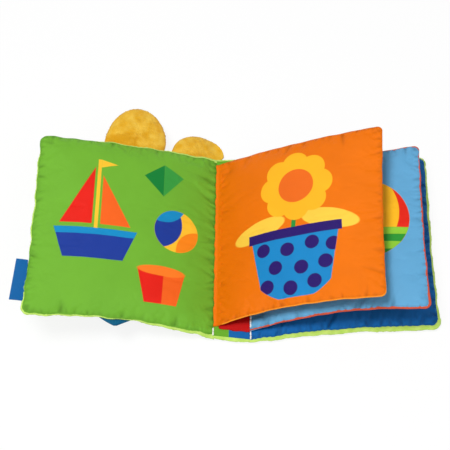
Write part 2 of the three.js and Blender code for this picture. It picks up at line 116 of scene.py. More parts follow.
def share_of(distance, length):
    """0 at the start, rising evenly to 1 at the given distance from it."""
    return np.clip(distance / length, 0, 1)


def swell(distance, length):
    """0 at a seam, swelling smoothly to 1 at the given distance from it."""
    return np.sin(share_of(distance, length) * np.pi / 2)


def fade(distance, length):
    """1 at a seam, fading away from it."""
    return np.exp(-np.clip(distance, 0, None) / length)


def dome(share, power=2):
    """The height of a round form: 1 in its middle, 0 at its rim and past it."""
    return np.clip(1 - share**power, 0, 1) ** 0.5


def arched(out, width, height):
    return 4 * height * (out / width) * (1 - out / width)


def ends(y, start, length):
    """Shares that rise towards the upper and towards the lower edge."""
    return share_of(y - start, length), share_of(-y - start, length)


def straight(out):
    return 0 * out


def crossed(columns, rows):
    return np.meshgrid(columns, rows, indexing="ij")


class Panel:
    """A sewn panel. "out" is the distance from its fold, and "row" runs from -1 at the lower edge
    to 1 at the upper. lower(out) and upper(out) say how far an edge hangs out."""

    def __init__(
        self, size, margin, rises, start, seed, lower,
        upper=straight, wave=0.3, fold_plump=FOLD_PLUMP,
    ):
        self.width, self.height, self.corner = size
        self.margin, self.start, self.wave, self.fold_plump = margin, start, wave, fold_plump
        self.fold_rise, self.edge_rise = rises
        self.lower, self.upper = lower, upper
        self.phases = np.random.default_rng(seed).uniform(0, 2 * np.pi, (3, 3))

    def edge_wave(self, along, length, edge):
        """How the gathers of the seam make an edge wander."""
        waves = zip(WANDER_LENGTHS, self.phases[edge])
        total = sum(np.sin(2 * np.pi * along / step + phase) for step, phase in waves)
        inner = share_of(along, WANDER_FADE) * share_of(length - along, WANDER_FADE)
        return self.wave * total / 1.7 * inner

    def reach(self, out, side):
        """How far the lower (-1) or upper (1) edge is from the middle line."""
        past = np.clip(out - (self.width - self.corner), 0, self.corner)
        rounding = self.corner - np.sqrt(self.corner**2 - past**2)
        drawn = DRAW_IN * np.sin(np.pi * np.clip(out, 0, None) / self.width)
        upper = self.edge_wave(out, self.width, 0) + self.upper(out)
        lower = self.edge_wave(out, self.width, 1) + self.lower(out)
        return self.height / 2 - rounding - drawn + np.where(np.asarray(side) < 0, lower, upper)

    def to_side(self, out, y):
        """Distance to the nearer of the lower and upper edges."""
        return self.reach(out, y) - np.abs(y)

    def crown(self, out, y):
        """0 at every seam, rising to 1 well inside."""
        sides = swell(self.to_side(out, y), self.edge_rise)
        outer = swell(self.width - out, self.edge_rise)
        return swell(out - self.margin, self.fold_rise) * outer * sides

    def plump(self, out, y):
        """0 at every seam, rising to 1 within a few millimetres of it."""
        edges = (
            (self.to_side(out, y), EDGE_PLUMP),
            (self.width - out, EDGE_PLUMP),
            (out - self.start, self.fold_plump),
        )
        return math.prod(1 - fade(inside, length) for inside, length in edges)

    def seam_shade(self, out, y):
        """How deep the painted shade near a seam is: most at the seam, fading within a few
        millimetres.
        """
        to_seam = np.minimum(np.minimum(out, self.width - out), self.to_side(out, y))
        return 0.8 * fade(to_seam, 3)

    def place(self, out, row):
        y = row * self.reach(out, row)
        wave = self.edge_wave(y + self.height / 2, self.height, 2)
        pulled = DRAW_IN * (1 - row * row) - wave
        return out - pulled * np.clip(out / self.width, 0, None) ** 6, y

    def grid(self, step):
        inner = self.width - self.corner
        columns = np.linspace(self.start, inner, int((inner - self.start) / step))
        turns = np.radians(np.linspace(0, 90, 9)[1:])
        columns = np.concatenate([columns, inner + self.corner * np.sin(turns)])
        return crossed(columns, np.linspace(-1, 1, int(self.height / step)))


def creases(rng, along, inward, spacing, depth, reach, width):
    """How far each point sinks in short, tightly drawn creases that run in from a seam, with the
    cloth plump beside each."""
    sunk = np.zeros_like(along)
    at = along.min() + rng.uniform(0, spacing)
    while at < along.max():
        deep = depth * rng.uniform(0.3, 1.0)
        far = reach * rng.uniform(0.5, 1.3)
        wide = width * rng.uniform(0.75, 1.35)
        slant = rng.uniform(-0.45, 0.45)
        across = np.abs(along - at - slant * inward) / (wide * (1 + inward / (2 * far)))
        form = np.exp(-(across**1.2)) - 0.3 * np.exp(-((across - 2.6) ** 2) / 1.3)
        sunk += deep * form * np.exp(-((inward / far) ** 1.5)) * (1 - np.exp(-inward / 0.7))
        at += spacing * rng.uniform(0.55, 1.5)
    return sunk


def ripples(rng, x, y, lengths, height):
    """Soft wandering unevenness of stuffed cloth."""
    total = np.zeros_like(x)
    for length in lengths:
        turn = rng.uniform(0, 2 * np.pi, 4)
        u = x * np.cos(turn[0]) + y * np.sin(turn[0])
        v = x * np.cos(turn[1]) + y * np.sin(turn[1])
        wave = np.sin(2 * np.pi * u / length + turn[2])
        total += wave * np.sin(2 * np.pi * v / (1.3 * length) + turn[3])
    return height * total / len(lengths)


def panel_relief(panel, out, y, seed, depth, rise, fold=1.9):
    """How far a face of a panel, whose edges are plump by the given rise, sinks below its smooth
    form. Creases at the fold are deeper by the given factor."""
    rng = np.random.default_rng(seed)
    edges = [(out, panel.reach(out, side) - side * y, depth, SIDE_CREASES) for side in (-1, 1)]
    edges.append((y, panel.width - out, depth, OUTER_CREASES))
    edges.append((y, out - panel.start + 0.8, fold * depth, FOLD_CREASES))
    sunk = np.zeros_like(out)
    for along, inward, deep, kinds in edges:
        inward = np.clip(inward, 0, None)
        for spacing, share, reach, width in kinds:
            sunk += creases(rng, along, inward, spacing, share * deep, reach, width)
    inside = panel.crown(out, y)
    sunk -= ripples(rng, out, y, (27, 43, 71), 0.4) * inside
    return np.minimum(sunk, 0.2 + 0.8 * rise * panel.plump(out, y) + 2.0 * inside)


# Meshes
def xyz(x, y, z):
    """The points of a grid, one row for each."""
    return np.stack(np.broadcast_arrays(x, y, z), -1).reshape(-1, 3)


def grid_faces(columns, rows, flipped):
    index = np.arange(columns * rows).reshape(columns, rows)
    corners = [index[:-1, :-1], index[1:, :-1], index[1:, 1:], index[:-1, 1:]]
    faces = np.stack(corners, axis=-1).reshape(-1, 4)
    return faces[:, ::-1] if flipped else faces


def strip(first, second, flipped=False):
    """Faces between two rows of points."""
    faces = np.stack([first[:-1], second[:-1], second[1:], first[1:]], -1)
    return faces[:, ::-1] if flipped else faces


def ring_faces(rings, segments, start=0):
    """The index of each closed ring, with its first point repeated, and the faces between them."""
    index = start + np.arange(rings * segments).reshape(rings, segments)
    index = np.column_stack([index, index[:, 0]])
    return index, np.concatenate([strip(*pair) for pair in zip(index, index[1:])])


def rimmed(x, y, z, profile, flipped, share=None, seed=0, fray=FRAY):
    """A grid surface with extra rings round its three sewn edges. The profile lists each ring's
    (outward, rise); share(x, y) says how much of the outward reach an edge has, and such an edge
    is also frayed."""
    index = np.arange(x.size).reshape(x.shape)
    path = np.concatenate([index[:-1, 0], index[-1, :-1], index[::-1, -1]])
    points, faces = [xyz(x, y, z)], [grid_faces(*x.shape, flipped)]
    edge, height = points[0][path, :2], points[0][path, 2]
    ahead = np.gradient(edge, axis=0)
    ahead /= np.linalg.norm(ahead, axis=1, keepdims=True)
    turn = np.sign(edge[len(path) // 2, 0] - x.mean())
    outward = np.column_stack([ahead[:, 1], -ahead[:, 0]]) * turn
    outward[0], outward[-1] = (0, -1), (0, 1)
    rng = np.random.default_rng(seed)
    last = path
    for number, (far, rise) in enumerate(profile):
        ring = x.size + number * len(path) + np.arange(len(path))
        far_by, rise_by = np.full(len(path), float(far)), np.full(len(path), float(rise))
        if share is not None and far > 0:
            far_by *= share(*edge.T)
            far_by += rng.normal(0, fray, len(path)) * min(far, 1)
            rise_by += rng.normal(0, 0.75 * fray, len(path))
        points.append(np.column_stack([edge + outward * far_by[:, None], height + rise_by]))
        faces.append(strip(last, ring, flipped))
        last = ring
    return np.concatenate(points), np.concatenate(faces)


def thick_sheet(x, y, z, thickness):
    """A closed sheet over a grid, with its wall."""
    index = np.arange(x.size).reshape(x.shape)
    sides = (index[:-1, 0], index[-1, :-1], index[:0:-1, -1], index[0, :0:-1], index[:1, 0])
    rim = np.concatenate(sides)
    points = np.concatenate([xyz(x, y, z + thickness / 2), xyz(x, y, z - thickness / 2)])
    top, low = grid_faces(*x.shape, False), grid_faces(*x.shape, True) + x.size
    return points, np.concatenate([top, low, strip(rim, rim + x.size)])


def cushion(rings, segments, at):
    """A closed round form: at(share, angle) gives x, y, low and high."""
    angles = np.linspace(0, 2 * np.pi, segments, endpoint=False)
    share, angle = crossed(np.concatenate([[0], rings]), angles)
    x, y, low, high = at(share, angle)
    kept = np.concatenate([[0], np.arange(segments, share.size)])
    top, bottom = xyz(x, y, high)[kept], xyz(x, y, low)[kept]
    index, quads = ring_faces(len(rings), segments, 1)
    fan = np.stack([np.zeros(segments, int), index[0, :-1], index[0, 1:]], -1)
    faces = [*quads, *fan]
    for kind in (quads, fan):
        faces += list(kind[:, ::-1] + len(top))
    faces += list(strip(index[-1], index[-1] + len(top)))
    return np.concatenate([top, bottom]), faces


def between(known, wanted):
    """Weights that carry values at evenly spaced places over to others, along a smooth curve."""
    at = np.clip((wanted - known[0]) / (known[1] - known[0]), 0, len(known) - 1)
    first = np.minimum(at.astype(int), len(known) - 2)
    t = at - first
    parts = (
        -t / 2 + t**2 - t**3 / 2,
        1 - 5 * t**2 / 2 + 3 * t**3 / 2,
        t / 2 + 2 * t**2 - 3 * t**3 / 2,
        -(t**2) / 2 + t**3 / 2,
    )
    weights = np.zeros((len(wanted), len(known)))
    for step, part in enumerate(parts, -1):
        columns = np.clip(first + step, 0, len(known) - 1)
        np.add.at(weights, (np.arange(len(wanted)), columns), part)
    return weights


def settled(panel, out, row, form):
    """How far each point of a panel's face moves when its cloth, cut a little full and pinned along
    its seams, is blown up. form(out, row) is where the face starts from."""
    columns = np.linspace(panel.start, panel.width, CLOTH_GRID)
    rows = np.linspace(-1, 1, CLOTH_GRID)
    u, v = crossed(columns, rows)
    start = xyz(*form(u, v))
    mesh = bpy.data.meshes.new("stuffing")
    mesh.from_pydata((start * MM).tolist(), [], grid_faces(*u.shape, False).tolist())
    piece = bpy.data.objects.new("stuffing", mesh)
    scene.collection.objects.link(piece)
    seam = np.ones(u.shape, bool)
    seam[1:-1, 1:-1] = False
    pins = piece.vertex_groups.new(name="seam")
    pins.add(np.flatnonzero(seam).tolist(), 1.0, "REPLACE")
    cloth = piece.modifiers.new("Cloth", "CLOTH")
    for key, value in CLOTH_SETTINGS.items():
        setattr(cloth.settings, key, value)
    cloth.settings.effector_weights.gravity = 0
    cloth.collision_settings.use_collision = False
    cloth.point_cache.frame_start, cloth.point_cache.frame_end = 1, CLOTH_FRAMES
    for number in range(1, CLOTH_FRAMES + 1):
        scene.frame_set(number)
    evaluated = piece.evaluated_get(bpy.context.evaluated_depsgraph_get())
    end = np.empty(start.size)
    evaluated.data.vertices.foreach_get("co", end)
    scene.frame_set(1)
    bpy.data.objects.remove(piece)
    bpy.data.meshes.remove(mesh)
    moved = end.reshape(-1, 3) / MM - start
    far = np.linalg.norm(moved, axis=1, keepdims=True)
    moved *= CLOTH_CAP * np.tanh(far / CLOTH_CAP) / np.maximum(far, 1e-6)
    moved = moved.reshape(u.shape + (3,))
    across, along = between(columns, out[:, 0]), between(rows, row[0])
    return np.einsum("ia,abk,jb->kij", across, moved, along)


def creased(points, sunk, shift):
    """Where a face's points lie on its page, with the painted shade as the third number: how deep
    in a crease each is, plus any painted seam shade added to it. The points of a rim count as
    deep, so they are painted darker too."""
    page = points + (shift, 0, 0)
    page[:, 2] = 0.9
    page[: sunk.size, 2] = np.clip(sunk, 0, 3).ravel()
    return page


def tilted(points, origin, tilt):
    """Points of a piece that is turned about +Y and set at its fold."""
    x, y, z = points.T
    c, s = math.cos(tilt), math.sin(tilt)
    return np.column_stack([origin[0] + c * x + s * z, origin[1] + y, origin[2] - s * x + c * z])


def on_front(points):
    return tilted(points, FRONT_ORIGIN, FRONT_TILT)


def add_piece(name, points, faces, material, page, slot, nodes, body=None, bend=None):
    """A piece of the book: its mesh and material, the material slot, which is not used, the solids
    that it stands for, which are hidden, and the body that it moves with. A piece given a bend
    moves with no body and stays where it is made."""
    mesh = bpy.data.meshes.new(name)
    mesh.from_pydata((points * MM).tolist(), [], [list(map(int, face)) for face in faces])
    mesh.validate()
    mesh.update()
    mesh.shade_smooth()
    mesh.materials.append(material)
    attribute = mesh.attributes.new("page", "FLOAT_VECTOR", "POINT")
    attribute.data.foreach_set("vector", np.ascontiguousarray(page, dtype=np.float32).ravel())
    piece = bpy.data.objects.new(name, mesh)
    scene.collection.objects.link(piece)
    if bend:
        a, b, start, end = bend
        tuple(c * MM for c in start)
        tuple(c * MM for c in end)
        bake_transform(piece)
    else:
        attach(piece, body)
    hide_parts(*nodes)
    return piece


# Materials
SHEEN_ROUGHNESS = 0.45
PRINT_BLUR = 0.3
# The page's third number at points that get a painted highlight
HIGHLIGHT_MARK = -1.0


def linear(colour):
    """A colour written in sRGB as the shaders take it, with alpha 1."""
    parts = (c / 12.92 if c <= 0.04045 else ((c + 0.055) / 1.055) ** 2.4 for c in colour)
    return (*parts, 1)


def add_node(tree, kind, inputs=(), **settings):
    """A new shader node. A number or colour is set on its socket, another node's output linked."""
    node = tree.nodes.new(kind)
    for key, value in settings.items():
        setattr(node, key, value)
    for key, value in dict(inputs).items():
        if isinstance(value, (int, float, tuple)):
            node.inputs[key].default_value = value
        else:
            tree.links.new(value, node.inputs[key])
    return node


def add_math(tree, operation, *values):
    return add_node(tree, "ShaderNodeMath", enumerate(values), operation=operation).outputs[0]


class Shader:
    """A cloth shader that is built up node by node."""

    def __init__(self, name, roughness, specular, sheen=0.0):
        self.material = bpy.data.materials.new(name)
        self.material.use_nodes = True
        self.tree = self.material.node_tree
        self.shader = self.tree.nodes["Principled BSDF"]
        self.shader.inputs["Roughness"].default_value = roughness
        self.shader.inputs["Specular IOR Level"].default_value = specular
        self.shader.inputs["Sheen Weight"].default_value = sheen
        self.shader.inputs["Sheen Roughness"].default_value = SHEEN_ROUGHNESS
        self.page = self.node("ShaderNodeAttribute", attribute_name="page").outputs["Vector"]
        self.u, self.v, self.depth = self.node("ShaderNodeSeparateXYZ", {0: self.page}).outputs
        self.colour = None

    def node(self, kind, inputs=(), **settings):
        return add_node(self.tree, kind, inputs, **settings)

    def math(self, operation, *values):
        return add_math(self.tree, operation, *values)

    def weighed(self, a, by_a, b, by_b):
        """The sum of two values, each times a weight."""
        return self.math("ADD", self.math("MULTIPLY", a, by_a), self.math("MULTIPLY", b, by_b))

    def noise(self, scale, detail, vector=None):
        vector = self.page if vector is None else vector
        sockets = {"Scale": scale, "Detail": detail, "Vector": vector}
        return self.node("ShaderNodeTexNoise", sockets).outputs[0]

    def ramp(self, value, low, high, to_low=0.0, to_high=1.0):
        sockets = {"From Min": low, "From Max": high, "To Min": to_low, "To Max": to_high}
        return self.node("ShaderNodeMapRange", {"Value": value, **sockets}).outputs[0]

    def mix(self, factor, a, b):
        return self.node("ShaderNodeMix", {0: factor, 6: a, 7: b}, data_type="RGBA").outputs[2]

    # Distances to printed shapes, in millimetres, below 0 inside them

    def circle(self, x, y, radius):
        across, up = self.math("SUBTRACT", self.u, x), self.math("SUBTRACT", self.v, y)
        far = self.math("SQRT", self.weighed(across, across, up, up))
        return self.math("SUBTRACT", far, radius)

    def ellipse(self, x, y, a, b, turn=0.0):
        c, s = math.cos(math.radians(turn)), math.sin(math.radians(turn))
        across, up = self.math("SUBTRACT", self.u, x), self.math("SUBTRACT", self.v, y)
        p = self.weighed(across, c / a, up, s / a)
        q = self.weighed(across, -s / b, up, c / b)
        far = self.math("SQRT", self.weighed(p, p, q, q))
        return self.math("MULTIPLY", self.math("SUBTRACT", far, 1.0), min(a, b))

    def shape(self, *corners):
        """A convex shape through corners that run anticlockwise."""
        sides = []
        for (x0, y0), (x1, y1) in zip(corners, corners[1:] + corners[:1]):
            length = math.hypot(x1 - x0, y1 - y0)
            nx, ny = (y1 - y0) / length, (x0 - x1) / length
            along = self.weighed(self.u, nx, self.v, ny)
            sides.append(self.math("SUBTRACT", along, nx * x0 + ny * y0))
        return self.within(*sides)

    def within(self, *shapes):
        return functools.reduce(functools.partial(self.math, "MAXIMUM"), shapes)

    def joined(self, *shapes):
        return functools.reduce(functools.partial(self.math, "MINIMUM"), shapes)

    def base(self, colour):
        # The first colour is a node of its own, so that each print has something to lie on.
        self.colour = self.node("ShaderNodeRGB").outputs[0]
        self.colour.default_value = linear(colour)

    def paint(self, far, colour):
        shown = self.ramp(far, PRINT_BLUR, -PRINT_BLUR)
        self.colour = self.mix(shown, self.colour, linear(colour))

    def weave(self, pitch, wrinkle):
        """Crossing threads and faint wrinkles of a woven cloth."""
        turns = [self.math("MULTIPLY", along, 2 * math.pi / pitch) for along in (self.u, self.v)]
        threads = self.math("MULTIPLY", *(self.math("SINE", turn) for turn in turns))
        return self.weighed(threads, 0.08, self.noise(0.09, 4), wrinkle)

    def pile(self, scale):
        """The tufts of a plush or velour."""
        clumps = self.math("MULTIPLY", self.noise(scale / 6, 2), 0.8)
        return self.math("ADD", self.noise(scale, 4), clumps)

    def finish(self, height, strength, distance, uneven, scale=0.03, painted_shade=False):
        """Ends with slight unevenness of the colour, painted shade in creases, near seams and at
        rims where asked, and the bump of the cloth's own surface."""
        dark = self.ramp(self.noise(scale, 3), 0.3, 0.7, 1 - uneven, 1 + uneven / 2)
        # Painted shade: darker by the page's third number, which holds crease depth, seam shade and
        # rims.
        if painted_shade:
            dark = self.math("MULTIPLY", dark, self.ramp(self.depth, 0.3, 1.9, 1.0, 0.5))
        bright = self.node("ShaderNodeHueSaturation", {"Value": dark, "Color": self.colour})
        sockets = {"Strength": strength, "Distance": distance * MM, "Height": height}
        bump = self.node("ShaderNodeBump", sockets)
        self.tree.links.new(bright.outputs[0], self.shader.inputs["Base Color"])
        self.tree.links.new(bump.outputs[0], self.shader.inputs["Normal"])
        return self.material


def satin(name, colour, draw=None, wrinkle=0.8, painted_shade=False):
    shader = Shader(name, roughness=0.45, specular=0.12)
    shader.base(colour)
    if draw:
        draw(shader)
    return shader.finish(shader.weave(0.5, wrinkle), 0.5, 1.1, uneven=0.05, painted_shade=painted_shade)


def piled(name, colour, dark, scale, strength, distance, laid_and_shaded_below=None):
    """A piled cloth. Below the given height, along a wandering line, it is painted a darker amber:
    painted shade towards the lower part, and pile laid the other way.
    """
    shader = Shader(name, roughness=0.95, specular=0.08, sheen=0.2)
    patches = shader.ramp(shader.noise(scale / 9, 4), 0.3, 0.7)
    shader.colour = shader.mix(patches, linear(dark), linear(colour))
    if laid_and_shaded_below is not None:
        wander, blur = 46.0, 2.5
        height = shader.math("MULTIPLY_ADD", shader.noise(0.045, 3), wander, shader.v)
        middle = laid_and_shaded_below + wander / 2
        turned = shader.ramp(height, middle + blur, middle - blur, 0.0, 0.75)
        # Painted shade towards the lower part, with pile laid the other way: a darker amber.
        shader.colour = shader.mix(turned, shader.colour, linear(EAR_LAID_AND_SHADED))
    return shader.finish(shader.pile(scale), strength, distance, uneven=0.06, scale=0.12)


def moulded(name, colour, roughness):
    shader = Shader(name, roughness, specular=0.5)
    shader.base(colour)
    coordinates = shader.node("ShaderNodeTexCoord").outputs["Object"]
    return shader.finish(shader.noise(600, 2, coordinates), 0.1, 0.1, uneven=0.03)


def green_page(s):
    blue, light_blue = (0.10, 0.22, 0.58), (0.06, 0.54, 0.76)
    red, orange, yellow = (0.89, 0.12, 0.07), (0.95, 0.39, 0.11), (0.98, 0.76, 0.19)
    dark_green, mid_green = (0.05, 0.49, 0.20), (0.21, 0.60, 0.24)
    # Sailing boat
    s.paint(s.shape((-62, -6), (-53, -34), (-3, -34), (8, -6)), blue)
    s.paint(s.shape((-62, -6), (-60, -12), (5.5, -12), (8, -6)), light_blue)
    s.paint(s.shape((-29, -6), (-26, -6), (-26, 62), (-29, 62)), yellow)
    s.paint(s.shape((-58, -2), (-31, -2), (-31, 54)), red)
    s.paint(s.shape((-24, -2), (2, -2), (-24, 46)), orange)
    s.paint(s.shape((-26, 62), (-26, 54), (-12, 58)), yellow)
    # Kite
    s.paint(s.shape((12, 52), (30, 34), (30, 66)), dark_green)
    s.paint(s.shape((30, 34), (48, 56), (30, 66)), mid_green)
    # Ball
    ball = s.circle(43, 2, 20)
    s.paint(ball, yellow)
    s.paint(s.within(ball, s.circle(24, 8, 24)), blue)
    s.paint(s.within(ball, s.circle(30, 30, 21)), light_blue)
    s.paint(s.within(ball, s.circle(64, -16, 21)), (0.96, 0.53, 0.10))
    # Bucket
    s.paint(s.shape((10, -38), (17, -68), (45, -68), (52, -38)), red)
    s.paint(s.shape((33, -38), (32, -68), (45, -68), (52, -38)), orange)
    s.paint(s.ellipse(31, -38, 21, 4.5), (0.98, 0.49, 0.14))


def orange_page(s):
    yellow, light = (0.99, 0.72, 0.13), (0.99, 0.80, 0.27)
    blue, purple = (0.09, 0.52, 0.77), (0.15, 0.06, 0.40)
    # Flower in a pot
    s.paint(s.shape((-3, -12), (1, -12), (5, 22), (1, 22)), (0.16, 0.55, 0.22))
    s.paint(s.ellipse(-32, -2, 25, 9, 14), light)
    s.paint(s.ellipse(32, -2, 25, 9, -14), light)
    turns = [k * math.pi / 4 for k in range(8)]
    petals = [s.circle(3 + 21 * math.cos(turn), 34 + 21 * math.sin(turn), 12) for turn in turns]
    s.paint(s.joined(*petals), yellow)
    s.paint(s.circle(3, 34, 16), (0.93, 0.42, 0.10))
    sides = s.shape((-40, -8), (-29, -68), (29, -68), (40, -8))
    pot = s.within(sides, s.ellipse(0, -26, 43, 45))
    s.paint(pot, blue)
    dots = (
        (-28, -22), (-6, -25), (16, -22), (34, -26), (-17, -40),
        (6, -43), (27, -41), (-25, -56), (-4, -60), (17, -57),
    )
    s.paint(s.within(pot, s.joined(*(s.circle(x, y, 6.2) for x, y in dots))), purple)
    s.paint(s.shape((-42, -14), (42, -14), (42, -5), (-42, -5)), purple)
    # Painted highlight: the turned lower edge is painted lighter, as if it caught the light.
    s.paint(s.math("SUBTRACT", s.depth, HIGHLIGHT_MARK / 2), LIT_ORANGE)


def sky_page(s):
    yellow, red = (0.99, 0.74, 0.13), (0.89, 0.15, 0.08)
    green, light = (0.17, 0.58, 0.20), (0.56, 0.80, 0.22)
    # Hot-air balloon
    bag = s.circle(26, 6, 38)
    s.paint(bag, yellow)
    s.paint(s.within(bag, s.math("MULTIPLY", s.circle(8, 13, 48), -1.0)), red)
    lower = s.within(bag, s.shape((-40, -4), (-40, -60), (90, -60), (90, -4)))
    s.paint(lower, green)
    waves = s.math("COSINE", s.math("MULTIPLY", s.v, 2 * math.pi / 14))
    s.paint(s.within(lower, s.math("MULTIPLY", waves, 4.0)), light)
    s.paint(s.shape((17, -66), (35, -66), (37, -50), (15, -50)), (0.55, 0.33, 0.14))


# Materials marked with painted shade darken their colour in creases, near seams and at rims.
satin_green = satin("satin_green", GREEN, green_page, painted_shade=True)
# The spine's satin: plain, with its colour painted a little darker as shade.
satin_green_plain_shaded = satin("satin_green_plain_shaded", SHADED_PLAIN_GREEN, painted_shade=True)
satin_blue = satin("satin_blue", DEEP_BLUE, painted_shade=True)
satin_orange = satin("satin_orange", ORANGE, orange_page, painted_shade=True)
satin_orange_plain = satin("satin_orange_plain", ORANGE)
satin_red = satin("satin_red", RED)
satin_sky = satin("satin_sky", SKY, sky_page, painted_shade=True)
satin_coral = satin("satin_coral", CORAL)
velour = piled("velour_lime", LIME, LIME_SHADE, 1.6, 0.5, 0.7)
plush = piled("plush_gold", GOLD, GOLD_SHADE, 1.3, 0.7, 1.0)
# The ears darken towards their lower part: painted shade, and pile laid the other way.
ear_plush = piled("plush_gold_ear", GOLD, EAR_SHADE, 1.3, 0.7, 1.0, laid_and_shaded_below=-4)
plush_cream = piled("plush_cream", CREAM, CREAM_SHADE, 1.4, 0.6, 0.9)
brown_cloth = satin("brown_cloth", BROWN)
tag_tape = satin("tag_tape", TAG_BLUE, wrinkle=0.3)
neck_cotton = satin("neck_cotton", NECK_BLUE, wrinkle=0.5)
thread_white = satin("thread_white", WHITE, wrinkle=0.2)

# Front cover. A rim or lip lists how far out each of its rings goes, and how much it rises.
LINING_RIM = [(0.35, -0.25), (0.5, -0.7), (0.3, -1.1), (-1.2, -1.3)]
VELOUR_LIP = [
    (0.6, -0.1), (1.2, 0.3), (1.6, 0.8), (1.4, 1.2), (0.8, 1.45), (0.1, 1.4), (-1.2, 1.0),
]
COVER_START = -0.8
FRONT_BEND = ("back_cover", "front_cover", (-14.4, 0, FOLD_Z), (-22.4, 0, FOLD_Z))
FRONT_LINING_SWELL, FRONT_VELOUR_SWELL, BACK_LINING_SWELL = 2.0, 4.6, 2.4
# Thinner cloth beside the fold leaves room for closing.
FOLD_THINNING, FOLD_THINNING_LENGTH = 0.9, 6


def front_run(out):
    """The lower edge is drawn in along its middle and hangs out at the fold."""
    share = share_of(out, COVER_WIDTH)
    return 1.5 * (1 - share) ** 2 - 1.3 * np.sin(np.pi * share)


front_panel = Panel(
    (COVER_WIDTH, COVER_HEIGHT, COVER_CORNER), FOLD_MARGIN, (36, 26), COVER_START, 1, front_run,
    wave=0.5, fold_plump=WIDE_FOLD_PLUMP,
)


def front_arch(out):
    return arched(out, COVER_WIDTH, FRONT_ARCH)


def front_outer(out, y):
    return front_arch(out) - HALF_SEAM - FRONT_VELOUR_SWELL * front_panel.crown(out, y)


def uneven(x, y, low, high):
    """A share that wanders slowly along an edge."""
    wander = np.sin(x / 9.1 + 0.7) * np.sin(y / 11.3 + 2.1)
    wander = wander + np.sin(x / 23 + 1.9) + np.sin(y / 19 + 0.4)
    return low + (high - low) * np.clip(0.5 + wander / 3.2, 0, 1)


def front_lip(x, y):
    """The velour shows along the outer and lower edges, and near the fold along the upper one."""
    upper, lower = ends(y, 60, 20)
    left, near = share_of(-x - 106, 12), share_of(x + 70, 55)
    shown = uneven(x, y, 0.1, 0.8) * (1 - upper * left)
    return shown + 0.75 * upper * (1 - left) + (0.25 + 0.9 * near) * lower


def front_form(out, row):
    along, y = front_panel.place(out, row)
    puff = COVER_PLUMP * front_panel.plump(out, y)
    puff += FRONT_LINING_SWELL * front_panel.crown(out, y)
    puff -= FOLD_THINNING * fade(out, FOLD_THINNING_LENGTH)
    return along, y, front_arch(out) + HALF_SEAM + puff


def add_front_cover():
    out, row = front_panel.grid(STEP)
    along, y, top = front_form(out, row)
    sunk = panel_relief(front_panel, out, y, 11, 1.25, COVER_PLUMP, fold=2.4)
    dx, dy, dz = settled(front_panel, out, row, front_form)
    points, faces = rimmed(-along - dx, y + dy, top + dz - sunk, LINING_RIM, True)
    page = creased(points, sunk + front_panel.seam_shade(out, y), COVER_WIDTH / 2)
    add_piece(
        "front_cover_lining_cloth", on_front(points), faces, satin_green, page, "green_satin",
        ["front_cover_lining", "front_cover_wadding"], bend=FRONT_BEND,
    )
    out, row = front_panel.grid(HIDDEN_STEP)
    along, y = front_panel.place(out, row)
    under = front_outer(out, y) + 0.6 * panel_relief(front_panel, out, y, 12, 0.7, 1.0)
    points, faces = rimmed(-along, y, under, VELOUR_LIP, False, front_lip, 13)
    add_piece(
        "front_cover_velour_cloth", on_front(points), faces, velour, points, "lime_velour",
        ["front_cover_velour"], bend=FRONT_BEND,
    )


# Back cover and spine
BACK_SIZE = (157.5, COVER_HEIGHT, COVER_CORNER)
SPINE_HALF, SPINE_OUTER_HALF, SPINE_CROWN_HALF = 15.4, 15.6, 15.2
SPINE_SPLIT = -2.6
SPINE_SWELL, SPINE_WALL = 0.7, 1.2


def back_run(out):
    """The lower edge hangs out most at the fold and is drawn in at the outer corner."""
    return 5.4 - 0.10 * out + 0.00022 * out * out


def back_hem(out):
    """The lining is drawn in from the velour's lower edge, and its gathers make it jagged."""
    jags = 0.25 * np.sin(1.15 * out + 2 * np.sin(out / 9)) * swell(out, 10)
    return back_run(out) - 1.6 * swell(out, 50) - jags


def spine_run(x):
    """How far the lower end of the spine hangs out."""
    return 3.45 + 1.95 * x / FOLD_X


back_panel = Panel(BACK_SIZE, FOLD_MARGIN, (80, 26), COVER_START, 2, back_hem)
under_panel = Panel(BACK_SIZE, 0, (36, 26), COVER_START, 2, back_run)


def off_table(crown):
    """How far an underside still is from lying on the table: 1 at a seam, 0 well inside it."""
    return np.clip(1 - crown / 0.45, 0, 1)


def back_lip(x, y):
    return uneven(x, y, 0.9, 1.5) + 0.6 * ends(y, 60, 20)[1] * swell(x, 40)


def back_form(out, row):
    along, y = back_panel.place(out, row)
    puff = COVER_PLUMP * back_panel.plump(out, y) + BACK_LINING_SWELL * back_panel.crown(out, y)
    return along, y, SPINE_TOP + puff


def add_back_cover():
    out, row = back_panel.grid(STEP)
    along, y, top = back_form(out, row)
    sunk = panel_relief(back_panel, out, y, 21, 2.0, COVER_PLUMP)
    dx, dy, dz = settled(back_panel, out, row, back_form)
    points, faces = rimmed(along + dx, y + dy, top + dz - sunk, LINING_RIM, False)
    page = creased(points, sunk + back_panel.seam_shade(out, y), 0)
    add_piece(
        "back_cover_lining_cloth", points + (FOLD_X, 0, 0), faces, satin_blue, page, "blue_satin",
        ["back_cover_lining", "back_cover_wadding"], "back_cover",
    )
    out, row = under_panel.grid(HIDDEN_STEP)
    along, y = under_panel.place(out, row)
    under = SEAM_LIFT * off_table(under_panel.crown(out, y))
    points, faces = rimmed(along, y, under, VELOUR_LIP, True, back_lip, 23)
    add_piece(
        "back_cover_velour_cloth", points + (FOLD_X, 0, 0), faces, velour, points, "lime_velour",
        ["back_cover_velour"], "back_cover",
    )


def spine_grid(low, high, count):
    """A grid over the spine, and how far each point is from the spine's nearer end."""
    columns, rows = np.linspace(low, high, count), np.linspace(-1, 1, 107)
    x, row = crossed(columns, rows)
    reach = COVER_HEIGHT / 2 + np.where(row < 0, spine_run(x), 0)
    return x, row * reach, reach * (1 - np.abs(row))


